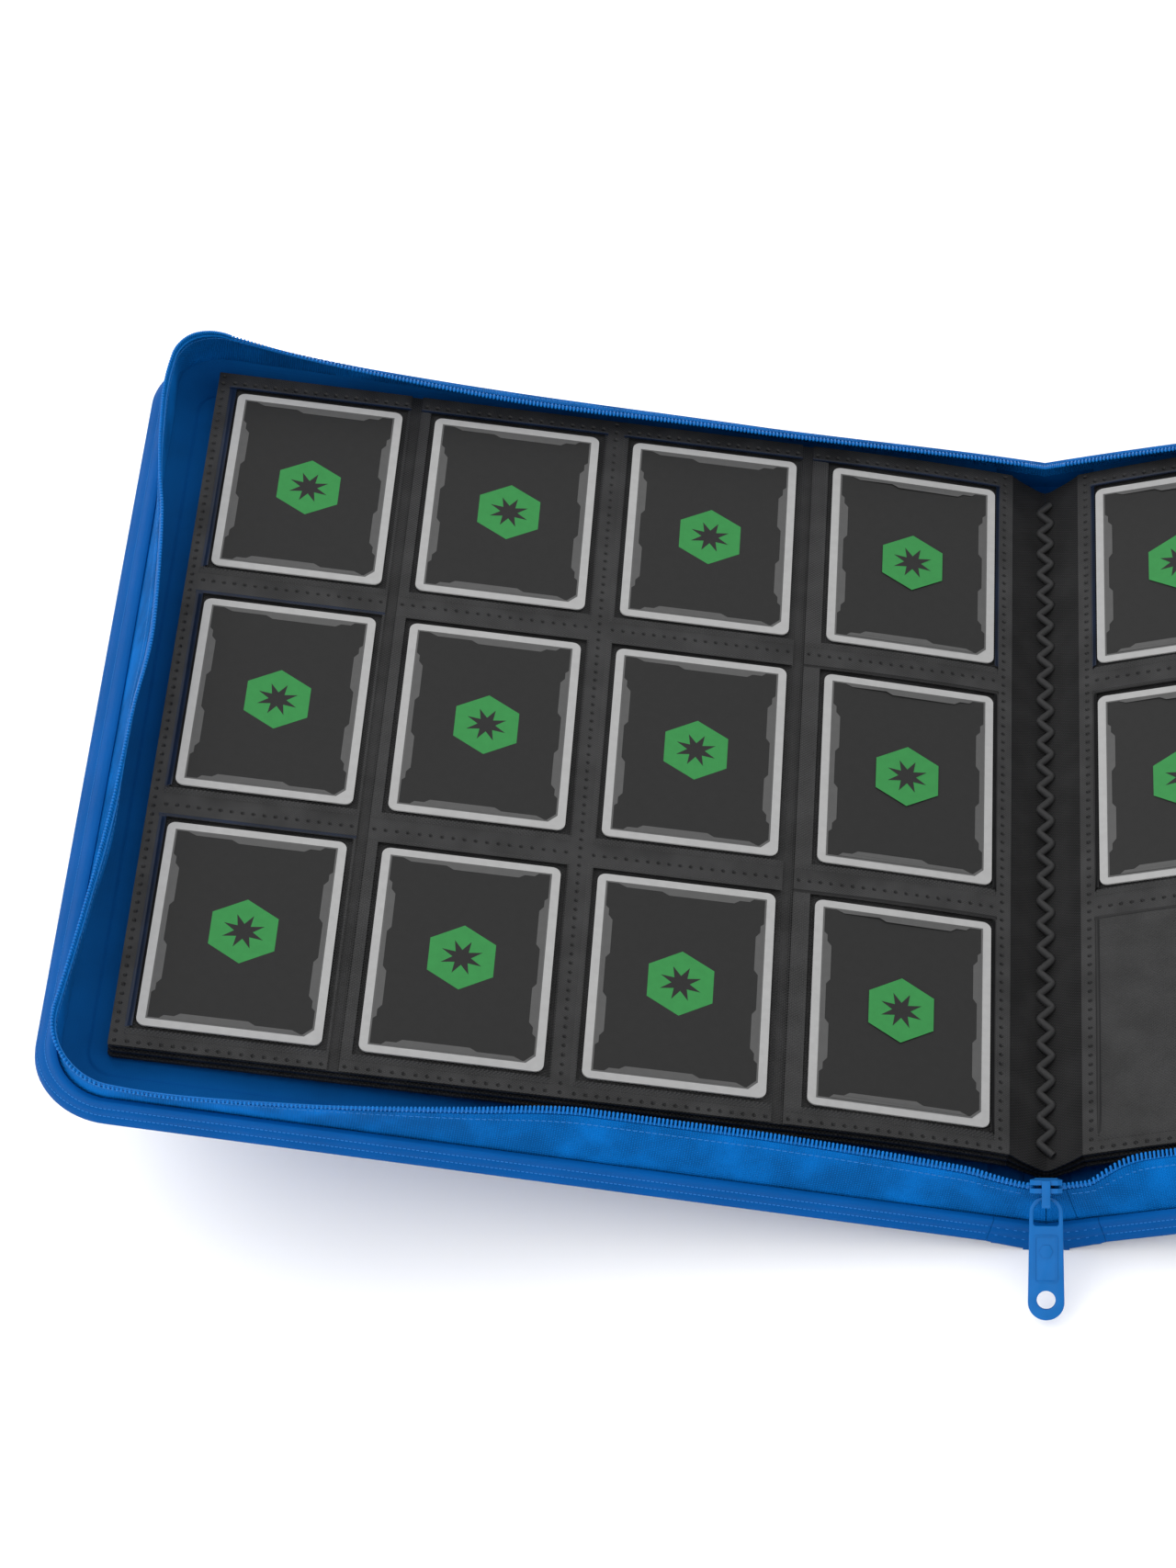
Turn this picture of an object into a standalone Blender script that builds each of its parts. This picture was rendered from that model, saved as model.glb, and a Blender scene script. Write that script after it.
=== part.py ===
"""A zip-round trading card binder, standing open in a shallow V with its cards in side-loading pockets.

Metres, +Z up. X runs across the open binder, Y along the spine, and the origin is on the flat underside of
the spine. Each cover rises outwards at COVER_TILT and each stack of leaves at PAGE_TILT. Both halves are
built by the same functions: side is -1 for the left half and +1 for the right half.
"""

import math

import bmesh
import bpy
from mathutils import Vector

MM = 0.001
GAP = 0.3 * MM  # between pieces that touch

# The case: two stiff covers, joined by a narrow flat spine and two flexible spine panels.
CASE_HALF_LENGTH = 177.7 * MM  # half of the case along the spine
CASE_REACH = 348 * MM  # from the spine's middle to a cover's outer edge, along the cover
CORNER_RADIUS = 27 * MM
COVER_TILT = math.radians(12.5)
BOARD_THICKNESS = 3.0 * MM
LINING_THICKNESS = 0.6 * MM
SPINE_HALF_WIDTH = 8 * MM
SPINE_THICKNESS = 2.2 * MM
PANEL_THICKNESS = 1.2 * MM
HINGE_REACH = 19.4 * MM  # from the spine's middle to the crease that a cover turns on
CREASE = 1.6 * MM  # bare stretch between a crease and the stiff board

# The wall around each cover: a stitched band, a woven zip tape and its coil.
BAND_HEIGHT = 13.6 * MM
BAND_THICKNESS = 2.0 * MM
TAPE_THICKNESS = 0.8 * MM
TAPE_FOOT = 9.5 * MM  # height at which the tape is sewn in behind the band
TAPE_LENGTH = 17 * MM  # above the band
TAPE_REACH = 13.6 * MM  # the tape and coil end this far from the spine's middle
COIL_LENGTH = 18.6 * MM  # from the band's top to the coil's middle, along the tape
COIL_RADIUS = 1.2 * MM
BAND_UPRIGHT = 4.5 * MM  # the band stands straight up to here, beside the board
# Shares of the way round a cover, from the spine's front end to its rear end, are in thousandths.
# How far the band's top edge leans in.
BAND_LEAN = ((0, 0.0), (307, 0.0), (350, 6.0 * MM), (640, 6.6 * MM), (693, 3.0 * MM), (900, 3.0 * MM),
             (1000, 0.6 * MM))
# The lean of the tape towards the inside, in degrees. Near the slider it differs between the halves.
TAPE_LEAN_AT_SLIDER = {
    "left": ((0, 0), (10, 4), (21, 11), (90, 23)),
    "right": ((0, 0), (8, 0), (27, 40), (90, 36)),
}
TAPE_LEAN = ((150, 23), (187, 2), (219, -12), (250, -22), (285, -29), (307, -27), (325, -18), (350, -8),
             (428, 8), (476, 13), (508, 20), (534, 17), (570, 8), (590, -2), (611, -9), (640, -12),
             (662, 0), (680, 14), (693, 22), (720, 34), (750, 42), (807, 50), (880, 46), (1000, 44))

# The leaves: three double sheets, each folded at the spine into a left and a right leaf.
PAGE_TILT = math.radians(10.96)
PAGE_PLANE_HEIGHT = 23 * MM  # where the two planes of the card faces would meet
LEAF_INNER, LEAF_OUTER = 12 * MM, 319 * MM
LEAF_FRONT, LEAF_REAR = -153.9 * MM, 163.1 * MM
LEAF_CORNER = 2 * MM
LEAF_PITCH = 3.1 * MM
SHEET_TOP = -0.9 * MM  # below the card faces
SHEET_THICKNESS = 1.2 * MM
LEAF_HINGE_X, LEAF_HINGE_Z = 15.2 * MM, 12.2 * MM  # crease of the whole stack, under its inner edge
# How far a leaf curls down towards the seam, at reaches from the spine's middle.
CURL = ((12 * MM, 2.4 * MM), (18.5 * MM, 1.9 * MM), (26 * MM, 1.4 * MM), (36 * MM, 0.9 * MM),
        (48 * MM, 0.4 * MM), (60 * MM, 0.1 * MM), (70 * MM, 0.0))
FOLD_FLAT = 3.4 * MM
FOLD_HEIGHTS = (12.2 * MM, 10.2 * MM, 8.2 * MM)

# Standard trading cards in a grid of four columns and three rows.
CARD_WIDTH, CARD_LENGTH, CARD_THICKNESS = 63 * MM, 88 * MM, 0.6 * MM
CARD_CORNER = 3 * MM
CARD_CENTRES = (279.3 * MM, 203.8 * MM, 127.7 * MM, 50.6 * MM)  # outermost column first
ROW_CENTRES = (108.65 * MM, 4.15 * MM, -100.95 * MM)  # rear row first
FILM_THICKNESS = 0.3 * MM
# Each top leaf has three films. Cards go in sideways at the slots between them.
# The name, the inner and outer edge, and the inner and outer edge of the film's own lengthwise weld.
FILMS = (
    ("outer", 245 * MM, 319 * MM, 313 * MM, 319 * MM),
    ("middle", 94 * MM, 241 * MM, 163 * MM, 169 * MM),
    ("inner", 12 * MM, 90 * MM, 12 * MM, 18 * MM),
)
POCKET_LENGTH = 96 * MM

# The seam that sews the folded sheets to the strip below them.
SEAM_FRONT, SEAM_REAR = -157 * MM, 157.5 * MM
SEAM_PITCH = 10.5 * MM
THREAD_RADIUS = 0.9 * MM
THREAD_SWING = 2.3 * MM

# The slider stands nose up at the spine's front end, with the pull tab down to the table.
SLIDER_Y, SLIDER_Z = -175.4 * MM, 35.2 * MM
SLIDER_TILT = math.radians(-51)
PLATE_LENGTH, NOSE_WIDTH, TAIL_WIDTH = 11 * MM, 10.7 * MM, 7.6 * MM
PLATE_THICKNESS = 1.6 * MM
CHANNEL = 1.1 * MM
TAB_AXIS_Y, TAB_AXIS_Z = -178.9 * MM, 33.1 * MM
TAB_SLOPE = math.radians(45.7)
TAB_LENGTH = 41.5 * MM  # from the axis to the rounded tip
TAB_THICKNESS = 1.6 * MM
TAB_HOLE_RADIUS = 3.15 * MM

LEFT, RIGHT = -1, 1
SIDES = (("left", LEFT), ("right", RIGHT))
ARC_STEPS = 6


def clear_scene():
    for obj in list(bpy.data.objects):
        bpy.data.objects.remove(obj, do_unlink=True)


def new_collection(name, hidden=False):
    collection = bpy.data.collections.new(name)
    collection.hide_render = hidden
    bpy.context.scene.collection.children.link(collection)
    return collection


def principled(name, colour, roughness, metallic=0.0, alpha=1.0):
    material = bpy.data.materials.new(name)
    material.use_nodes = True
    shader = material.node_tree.nodes["Principled BSDF"]
    shader.inputs["Base Color"].default_value = (*colour, 1)
    shader.inputs["Roughness"].default_value = roughness
    shader.inputs["Metallic"].default_value = metallic
    shader.inputs["Alpha"].default_value = alpha
    return material


def make_materials():
    return {
        "cover": principled("cover_leatherette", (0.003, 0.105, 0.42), 0.45),
        "lining": principled("lining_cloth", (0.003, 0.10, 0.40), 0.8),
        "tape": principled("zip_tape_cloth", (0.004, 0.12, 0.46), 0.85),
        "coil": principled("coil_plastic", (0.01, 0.17, 0.58), 0.35),
        "metal": principled("painted_metal", (0.012, 0.17, 0.56), 0.3),
        "sheet": principled("sheet_plastic", (0.022, 0.022, 0.023), 0.5),
        "film": principled("clear_film", (0.9, 0.9, 0.9), 0.15, alpha=0.25),
        "card": principled("card_print", (0.05, 0.06, 0.05), 0.4),
        "thread": principled("seam_thread", (0.01, 0.01, 0.01), 0.7),
    }


def link(obj, material, parent=None):
    """Puts a piece in the binder's collection, with its material and, if it has one, its parent empty."""
    BINDER.objects.link(obj)
    obj.data.materials.append(material)
    obj.parent = parent
    return obj


def pivot(name, location, turn_x=0.0, turn_y=0.0):
    """An empty on a joint's axis, turned to the lie of the pieces that hang from it."""
    empty = bpy.data.objects.new(name, None)
    empty.location = location
    empty.rotation_euler = (turn_x, turn_y, 0)
    BINDER.objects.link(empty)
    return empty


def arc(centre, radius, start, end, steps=ARC_STEPS):
    """Points on an arc, by angles in degrees, both ends included."""
    turns = [math.radians(start + (end - start) * i / steps) for i in range(steps + 1)]
    return [(centre[0] + radius * math.cos(a), centre[1] + radius * math.sin(a)) for a in turns]


def rounded_rectangle(low, high, radius, corners=(True, True, True, True), steps=3):
    """A closed outline from the low-x low-y corner anticlockwise. corners says which are round."""
    (x0, y0), (x1, y1) = low, high
    places = ((x0, y0, 1, 1, 180), (x1, y0, -1, 1, 270), (x1, y1, -1, -1, 0), (x0, y1, 1, -1, 90))
    points = []
    for (x, y, inward_x, inward_y, start), is_round in zip(places, corners):
        if is_round:
            centre = (x + inward_x * radius, y + inward_y * radius)
            points += arc(centre, radius, start, start + 90, steps)
        else:
            points.append((x, y))
    return points


def mirrored(outline, side):
    """The outline for one half: turned over to negative x for the left."""
    return [(side * x, y) for x, y in outline][::side]


def flat_curve(name, outlines, thickness):
    """A filled flat outline, with any further outlines as holes, centred on its own plane."""
    curve = bpy.data.curves.new(name, "CURVE")
    curve.dimensions = "2D"
    curve.fill_mode = "BOTH"
    curve.extrude = thickness / 2
    for outline in outlines:
        spline = curve.splines.new("POLY")
        spline.points.add(len(outline) - 1)
        for point, (x, y) in zip(spline.points, outline):
            point.co = (x, y, 0, 1)
        spline.use_cyclic_u = True
    return bpy.data.objects.new(name, curve)


def plate(name, outlines, bottom, thickness, material, parent=None):
    """A flat piece whose underside is at height bottom in its parent's frame."""
    obj = link(flat_curve(name, outlines, thickness), material, parent)
    obj.location.z = bottom + thickness / 2
    return obj


def upright_plate(name, outline, front, thickness, material, parent=None):
    """A flat piece whose outline is in x and z, with its front face at y = front."""
    obj = link(flat_curve(name, [outline], thickness), material, parent)
    obj.rotation_euler.x = math.pi / 2
    obj.location.y = front + thickness / 2
    return obj


def meshed(obj):
    """The same shape as a welded mesh, for a piece that a Boolean joins."""
    bpy.context.view_layer.update()
    graph = bpy.context.evaluated_depsgraph_get()
    mesh = bpy.data.meshes.new_from_object(obj.evaluated_get(graph))
    bm = bmesh.new()
    bm.from_mesh(mesh)
    bmesh.ops.remove_doubles(bm, verts=bm.verts, dist=1e-6)
    bmesh.ops.recalc_face_normals(bm, faces=bm.faces)
    bm.to_mesh(mesh)
    bm.free()
    made = bpy.data.objects.new(obj.name + "_mesh", mesh)
    made.parent = obj.parent
    made.location = obj.location
    made.rotation_euler = obj.rotation_euler
    made.data.materials.clear()
    made.data.materials.append(obj.data.materials[0])
    for collection in list(obj.users_collection):
        collection.objects.link(made)
    name = obj.name
    bpy.data.objects.remove(obj)
    made.name = name
    return made


def join(target, helper):
    """Joins helper to target with a Boolean. The helper is kept out of the binder."""
    for collection in list(helper.users_collection):
        collection.objects.unlink(helper)
    HELPERS.objects.link(helper)
    helper.hide_render = True
    helper.display_type = "WIRE"
    modifier = target.modifiers.new("join_" + helper.name, "BOOLEAN")
    modifier.operation = "UNION"
    modifier.solver = "MANIFOLD"
    modifier.object = helper


def loft(name, rings, material, parent=None, smooth=True):
    """A solid through closed rings of points, with both ends capped."""
    bm = bmesh.new()
    rows = [[bm.verts.new(point) for point in ring] for ring in rings]
    for row, after in zip(rows, rows[1:]):
        for i in range(len(row)):
            j = (i + 1) % len(row)
            bm.faces.new((row[i], row[j], after[j], after[i]))
    bm.faces.new(rows[0])
    bm.faces.new(rows[-1])
    bmesh.ops.recalc_face_normals(bm, faces=bm.faces)
    mesh = bpy.data.meshes.new(name)
    bm.to_mesh(mesh)
    bm.free()
    if smooth:
        mesh.shade_smooth()
        mesh.set_sharp_from_angle(angle=math.radians(35))
    return link(bpy.data.objects.new(name, mesh), material, parent)


def wall_path(start):
    """Stations round a cover from the spine's front end: (reach, y, inward direction, share of the way)."""
    half, reach, radius = CASE_HALF_LENGTH, CASE_REACH, CORNER_RADIUS
    straight, across = 14, 14
    first_x = [start + (reach - radius - start) * i / straight for i in range(straight)]
    first_x[1:1] = [first_x[0] + 6 * MM, first_x[0] + 13 * MM]
    stations = [(x, -half, (0, 1)) for x in first_x]
    centre = (reach - radius, -half + radius)
    for x, y in arc(centre, radius, 270, 360, ARC_STEPS):
        stations.append((x, y, ((centre[0] - x) / radius, (centre[1] - y) / radius)))
    side_run = 2 * (half - radius)
    stations += [(reach, -half + radius + side_run * i / across, (-1, 0)) for i in range(1, across)]
    centre = (reach - radius, half - radius)
    for x, y in arc(centre, radius, 0, 90, ARC_STEPS):
        stations.append((x, y, ((centre[0] - x) / radius, (centre[1] - y) / radius)))
    stations += [(x, half, (0, -1)) for x in first_x[::-1]]
    lengths = [0.0]
    for (x0, y0, _), (x1, y1, _) in zip(stations, stations[1:]):
        lengths.append(lengths[-1] + math.hypot(x1 - x0, y1 - y0))
    return [(*station, run / lengths[-1]) for station, run in zip(stations, lengths)]


def eased(places, share):
    """The value at a share of the way round, eased between the places given."""
    at = share * 1000
    for (start, before), (end, after) in zip(places, places[1:]):
        if at <= end:
            t = (at - start) / (end - start)
            return before + (after - before) * t * t * (3 - 2 * t)
    return places[-1][1]


def wall_rings(side, start, section):
    """Rings round a cover. section gives (inset, height) points for a share of the way round."""
    rings = []
    for x, y, (inward_x, inward_y), share in wall_path(start):
        ring = [
            (side * (x + inset * inward_x - HINGE_REACH), y + inset * inward_y, height)
            for inset, height in section(share)
        ]
        rings.append(ring)
    return rings


def band_section(share):
    top = eased(BAND_LEAN, share)
    outer = [(0, 0), (0, BAND_UPRIGHT), (top, BAND_HEIGHT)]
    return outer + [(inset + BAND_THICKNESS, height) for inset, height in outer[::-1]]


def tape_place(lean, band_top, along, side_step=0.0):
    """(inset, height) of a point that far up the tape from the band's top, and that far in from its face."""
    inset = band_top + BAND_THICKNESS + GAP + along * math.sin(lean) + side_step * math.cos(lean)
    return inset, BAND_HEIGHT + along * math.cos(lean) - side_step * math.sin(lean)


def tape_section(lean, band_top):
    """The tape's foot follows the back of the band, and its free length leans from the band's top."""
    slope = band_top / (BAND_HEIGHT - BAND_UPRIGHT)
    foot = band_top - (BAND_HEIGHT - TAPE_FOOT) * slope + BAND_THICKNESS + GAP
    outer = [(foot, TAPE_FOOT), tape_place(lean, band_top, 0), tape_place(lean, band_top, TAPE_LENGTH)]
    inner = [tape_place(lean, band_top, TAPE_LENGTH, TAPE_THICKNESS)]
    inner += [(outer[1][0] + TAPE_THICKNESS, BAND_HEIGHT), (foot + TAPE_THICKNESS, TAPE_FOOT)]
    return outer + inner


def coil_section(lean, band_top):
    centre = tape_place(lean, band_top, COIL_LENGTH, TAPE_THICKNESS / 2)
    return arc(centre, COIL_RADIUS, 0, 300, 5)


def make_spine():
    half, width = CASE_HALF_LENGTH, SPINE_HALF_WIDTH - GAP / 2
    outline = rounded_rectangle((-width, -half), (width, half), CORNER_RADIUS, (False,) * 4)
    plate("spine_strip", [outline], 0, SPINE_THICKNESS, MATERIALS["cover"])
    strip = rounded_rectangle((-FOLD_FLAT, SEAM_FRONT), (FOLD_FLAT, SEAM_REAR), 0, (False,) * 4)
    bottom = SPINE_THICKNESS + GAP
    top = FOLD_HEIGHTS[-1] - SHEET_THICKNESS - GAP
    plate("binding_strip", [strip], bottom, top - bottom, MATERIALS["sheet"])


def make_spine_panel(label, side):
    """The flexible panel between the spine and a cover, with the pleats of the band at its two ends."""
    crease = (side * SPINE_HALF_WIDTH, 0, SPINE_HALF_WIDTH * math.tan(COVER_TILT))
    hinge = pivot(label + "_spine_crease", crease, turn_y=-side * COVER_TILT)
    start = SPINE_HALF_WIDTH / math.cos(COVER_TILT)
    low, high = (GAP, -CASE_HALF_LENGTH), (HINGE_REACH - start - GAP, CASE_HALF_LENGTH)
    outline = mirrored(rounded_rectangle(low, high, 0, (False,) * 4), side)
    plate(label + "_spine_panel", [outline], 0, PANEL_THICKNESS, MATERIALS["cover"], hinge)
    slope, flat = math.tan(COVER_TILT), SPINE_THICKNESS + 2 * GAP
    inner, middle, outer = GAP, SPINE_HALF_WIDTH - 1 * MM, HINGE_REACH - 0.6 * MM
    lift = PANEL_THICKNESS / math.cos(COVER_TILT) + 2 * GAP
    top_outer = outer - BAND_HEIGHT * math.sin(COVER_TILT)
    pleat = [
        (inner, flat),
        (middle, flat),
        (SPINE_HALF_WIDTH, SPINE_HALF_WIDTH * slope + lift),
        (outer, outer * slope + lift),
        (top_outer, top_outer * slope + BAND_HEIGHT / math.cos(COVER_TILT)),
        (inner, BAND_HEIGHT),
    ]
    front = -CASE_HALF_LENGTH
    rear = CASE_HALF_LENGTH - BAND_THICKNESS
    for end, y in (("front", front), ("rear", rear)):
        name = f"{label}_{end}_pleat"
        upright_plate(name, mirrored(pleat, side), y, BAND_THICKNESS, MATERIALS["cover"])


def make_cover(label, side):
    along = (HINGE_REACH * math.cos(COVER_TILT), HINGE_REACH * math.sin(COVER_TILT))
    hinge = pivot(label + "_cover_crease", (side * along[0], 0, along[1]), turn_y=-side * COVER_TILT)
    corners = (False, True, True, False)
    for name, inset, bottom, thickness, material in (
        ("cover_board", BAND_THICKNESS + GAP, 0, BOARD_THICKNESS, "cover"),
        ("cover_lining", BAND_THICKNESS + GAP, BOARD_THICKNESS + GAP, LINING_THICKNESS, "lining"),
    ):
        low = (CREASE, -CASE_HALF_LENGTH + inset)
        high = (CASE_REACH - HINGE_REACH - inset, CASE_HALF_LENGTH - inset)
        outline = rounded_rectangle(low, high, CORNER_RADIUS - inset, corners, ARC_STEPS)
        plate(f"{label}_{name}", [mirrored(outline, side)], bottom, thickness, MATERIALS[material], hinge)
    rings = wall_rings(side, HINGE_REACH + CREASE, band_section)
    loft(label + "_side_band", rings, MATERIALS["cover"], hinge)
    leans = TAPE_LEAN_AT_SLIDER[label] + TAPE_LEAN
    for name, section in (("zip_tape", tape_section), ("zip_coil", coil_section)):

        def leaning(share, section=section):
            return section(math.radians(eased(leans, share)), eased(BAND_LEAN, share))

        rings = wall_rings(side, TAPE_REACH, leaning)
        loft(f"{label}_{name}", rings, MATERIALS["tape" if section is tape_section else "coil"], hinge)


def leaf_frame(label, side):
    """The pivot of a stack of leaves, and its place along and above the plane of the card faces."""
    tilt = PAGE_TILT
    drop = LEAF_HINGE_Z - PAGE_PLANE_HEIGHT
    along = LEAF_HINGE_X * math.cos(tilt) + drop * math.sin(tilt)
    above = drop * math.cos(tilt) - LEAF_HINGE_X * math.sin(tilt)
    hinge = pivot(label + "_leaf_crease", (side * LEAF_HINGE_X, 0, LEAF_HINGE_Z), turn_y=-side * tilt)
    return hinge, along, above


def curl(x):
    """How far a leaf has curled down at reach x: straight between the places in CURL."""
    for (start, before), (end, after) in zip(CURL, CURL[1:]):
        if x <= end:
            return before + (after - before) * (max(x, start) - start) / (end - start)
    return 0.0


def curled(obj, side, along):
    """The flat piece as a mesh, curled down towards the seam. along is the reach at its hinge."""
    obj = meshed(obj)
    bm = bmesh.new()
    bm.from_mesh(obj.data)
    for reach, _drop in CURL:
        everything = bm.verts[:] + bm.edges[:] + bm.faces[:]
        place = (side * (reach - along), 0, 0)
        bmesh.ops.bisect_plane(bm, geom=everything, dist=1e-6, plane_co=place, plane_no=(1, 0, 0))
    for vert in bm.verts:
        vert.co.z -= curl(side * vert.co.x + along)
    bm.to_mesh(obj.data)
    bm.free()
    return obj


def make_leaves(label, side, filled_rows):
    hinge, along, above = leaf_frame(label, side)

    def flat(outline):
        return mirrored([(x - along, y) for x, y in outline], side)

    low, high = (LEAF_INNER, LEAF_FRONT), (LEAF_OUTER, LEAF_REAR)
    outline = flat(rounded_rectangle(low, high, LEAF_CORNER, (False, True, True, False)))
    for number in range(3):
        bottom = SHEET_TOP - SHEET_THICKNESS - LEAF_PITCH * number - above
        name = f"{label}_leaf_{number + 1}_sheet"
        curled(plate(name, [outline], bottom, SHEET_THICKNESS, MATERIALS["sheet"], hinge), side, along)
    for film in FILMS:
        make_film(label, film, flat, above, hinge, side, along)
    for row, y in enumerate(ROW_CENTRES[:filled_rows]):
        for column, x in enumerate(CARD_CENTRES):
            low = (x - CARD_WIDTH / 2, y - CARD_LENGTH / 2)
            high = (x + CARD_WIDTH / 2, y + CARD_LENGTH / 2)
            card = flat(rounded_rectangle(low, high, CARD_CORNER))
            name = f"{label}_card_{row + 1}_{column + 1}"
            curled(plate(name, [card], -CARD_THICKNESS - above, CARD_THICKNESS, MATERIALS["card"], hinge),
                   side, along)


def weld_bars():
    """The low and high y of each weld across a leaf, from the front: between the rows and at both ends."""
    edges = [LEAF_FRONT]
    for y in ROW_CENTRES[::-1]:
        edges += [y - POCKET_LENGTH / 2, y + POCKET_LENGTH / 2]
    edges.append(LEAF_REAR)
    return list(zip(edges[::2], edges[1::2]))


def weld_outline(low_x, high_x, weld_low, weld_high, inset):
    """A film's welds: bars across it, all joined by one along it."""
    bars = weld_bars()
    bars[0] = (bars[0][0] + inset, bars[0][1])
    bars[-1] = (bars[-1][0], bars[-1][1] - inset)
    weld_low, weld_high = max(weld_low, low_x + inset), min(weld_high, high_x - inset)
    right, left = [], []
    for low, high in bars:
        for side, end, weld in ((right, high_x - inset, weld_high), (left, low_x + inset, weld_low)):
            bar = [(end, low), (end, high)]
            side += bar if abs(end - weld) < 1e-7 else [(weld, low), *bar, (weld, high)]
    points = right + left[::-1]
    ends = {bars[0][0], bars[-1][1]}
    tips = {low_x + inset, high_x - inset}
    return [(x, y) for x, y in points if y not in ends or x in tips]


def make_film(label, film, flat, above, hinge, side, along):
    """A clear film over two columns of pockets or one, welded down to its sheet."""
    part, low_x, high_x, weld_low, weld_high = film
    outermost = part == "outer"
    low, high = (low_x, LEAF_FRONT), (high_x, LEAF_REAR)
    outline = flat(rounded_rectangle(low, high, LEAF_CORNER, (False, outermost, outermost, False)))
    name = f"{label}_{part}_film"
    top = meshed(plate(name, [outline], GAP - above, FILM_THICKNESS, MATERIALS["film"], hinge))
    bottom = SHEET_TOP + GAP
    height = GAP + FILM_THICKNESS / 2 - bottom
    bars = flat(weld_outline(low_x, high_x, weld_low, weld_high, inset=0.5 * MM))
    welds = plate(name + "_welds", [bars], bottom - above, height, MATERIALS["film"], hinge)
    join(top, meshed(welds))
    if part == "inner":
        curled(top, side, along)


def fold_height(x, reach, low, high):
    """The height of a folded sheet at x: flat over the seam, then easing up to the leaf's height."""
    share = (abs(x) - FOLD_FLAT) / (reach - FOLD_FLAT)
    return high - (high - low) * (1 - share) ** 2


def make_folds():
    """The folded backs of the three double sheets, and the zigzag seam through them."""
    tilt, steps = PAGE_TILT, 6
    for number, low in enumerate(FOLD_HEIGHTS):
        top = SHEET_TOP - LEAF_PITCH * number - CURL[0][1]
        reach = LEAF_INNER * math.cos(tilt) - top * math.sin(tilt) - 2 * GAP
        reach -= SHEET_THICKNESS * math.sin(tilt)
        high = PAGE_PLANE_HEIGHT + LEAF_INNER * math.sin(tilt) + top * math.cos(tilt)
        xs = [FOLD_FLAT + (reach - FOLD_FLAT) * i / steps for i in range(steps + 1)]
        upper = [(x, fold_height(x, reach, low, high)) for x in [-x for x in xs[::-1]] + xs]
        outline = upper + [(x, z - SHEET_THICKNESS) for x, z in upper[::-1]]
        name = f"sheet_{number + 1}_fold"
        upright_plate(name, outline, LEAF_FRONT, LEAF_REAR - LEAF_FRONT, MATERIALS["sheet"])
    make_seam()


def make_seam():
    curve = bpy.data.curves.new("seam_thread", "CURVE")
    curve.dimensions = "3D"
    curve.bevel_depth = THREAD_RADIUS
    curve.bevel_resolution = 1
    curve.use_fill_caps = True
    count = int((LEAF_REAR - LEAF_FRONT - SEAM_PITCH) / (SEAM_PITCH / 2))
    spline = curve.splines.new("POLY")
    spline.points.add(count)
    height = FOLD_HEIGHTS[0] + GAP + THREAD_RADIUS
    for i, point in enumerate(spline.points):
        x = THREAD_SWING * (-1) ** i
        point.co = (x, LEAF_FRONT + SEAM_PITCH / 2 * (i + 1), height, 1)
    link(bpy.data.objects.new("seam_thread", curve), MATERIALS["thread"])


def slider_outline():
    """A slider plate from above: a broad round-cornered nose at -y and a narrower tail."""
    nose, tail, half = NOSE_WIDTH / 2, TAIL_WIDTH / 2, PLATE_LENGTH / 2
    right = [(tail, half), (tail, half * 0.35), (nose, -half * 0.25), (nose, -half + 1.5 * MM)]
    right.append((nose - 1.5 * MM, -half))
    return right + [(-x, y) for x, y in right[::-1]]


def make_slider():
    """Two plates joined by the post that parts the coils, and the arched crown that holds the tab."""
    hinge = pivot("slider_seat", (0, SLIDER_Y, SLIDER_Z), turn_x=SLIDER_TILT)
    metal = MATERIALS["metal"]
    outer = meshed(plate("slider_body", [slider_outline()], -CHANNEL / 2 - PLATE_THICKNESS,
                         PLATE_THICKNESS, metal, hinge))
    inner = plate("slider_inner_plate", [slider_outline()], CHANNEL / 2, PLATE_THICKNESS, metal, hinge)
    low, high = (-1.4 * MM, -PLATE_LENGTH / 2 + 0.6 * MM), (1.4 * MM, -0.5 * MM)
    post = rounded_rectangle(low, high, 0.6 * MM)
    reach = CHANNEL + PLATE_THICKNESS
    post = plate("slider_post", [post], -reach / 2, reach, metal, hinge)
    join(outer, meshed(post))
    join(outer, meshed(inner))
    make_crown(hinge, metal)


def make_crown(hinge, metal):
    """An arch on the outer plate, open towards the plate, that the tab's ring passes through."""
    wall, half_width = 1.1 * MM, 1.45 * MM
    top = -CHANNEL / 2 - PLATE_THICKNESS - GAP
    reach = top - 4.6 * MM
    low, high = -4.9 * MM, 2.6 * MM
    outline = [
        (low, top), (low, reach + 1.2 * MM), (low + 1.2 * MM, reach), (high - 1.2 * MM, reach),
        (high, reach + 1.2 * MM), (high, top), (high - wall, top), (high - wall, reach + wall + 0.6 * MM),
        (high - wall - 0.6 * MM, reach + wall), (low + wall + 0.6 * MM, reach + wall),
        (low + wall, reach + wall + 0.6 * MM), (low + wall, top),
    ]
    crown = link(flat_curve("slider_crown", [outline], 2 * half_width), metal, hinge)
    # The outline's x is the slider's length and its y is the height above the plate.
    crown.rotation_euler = (math.pi / 2, 0, math.pi / 2)


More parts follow.
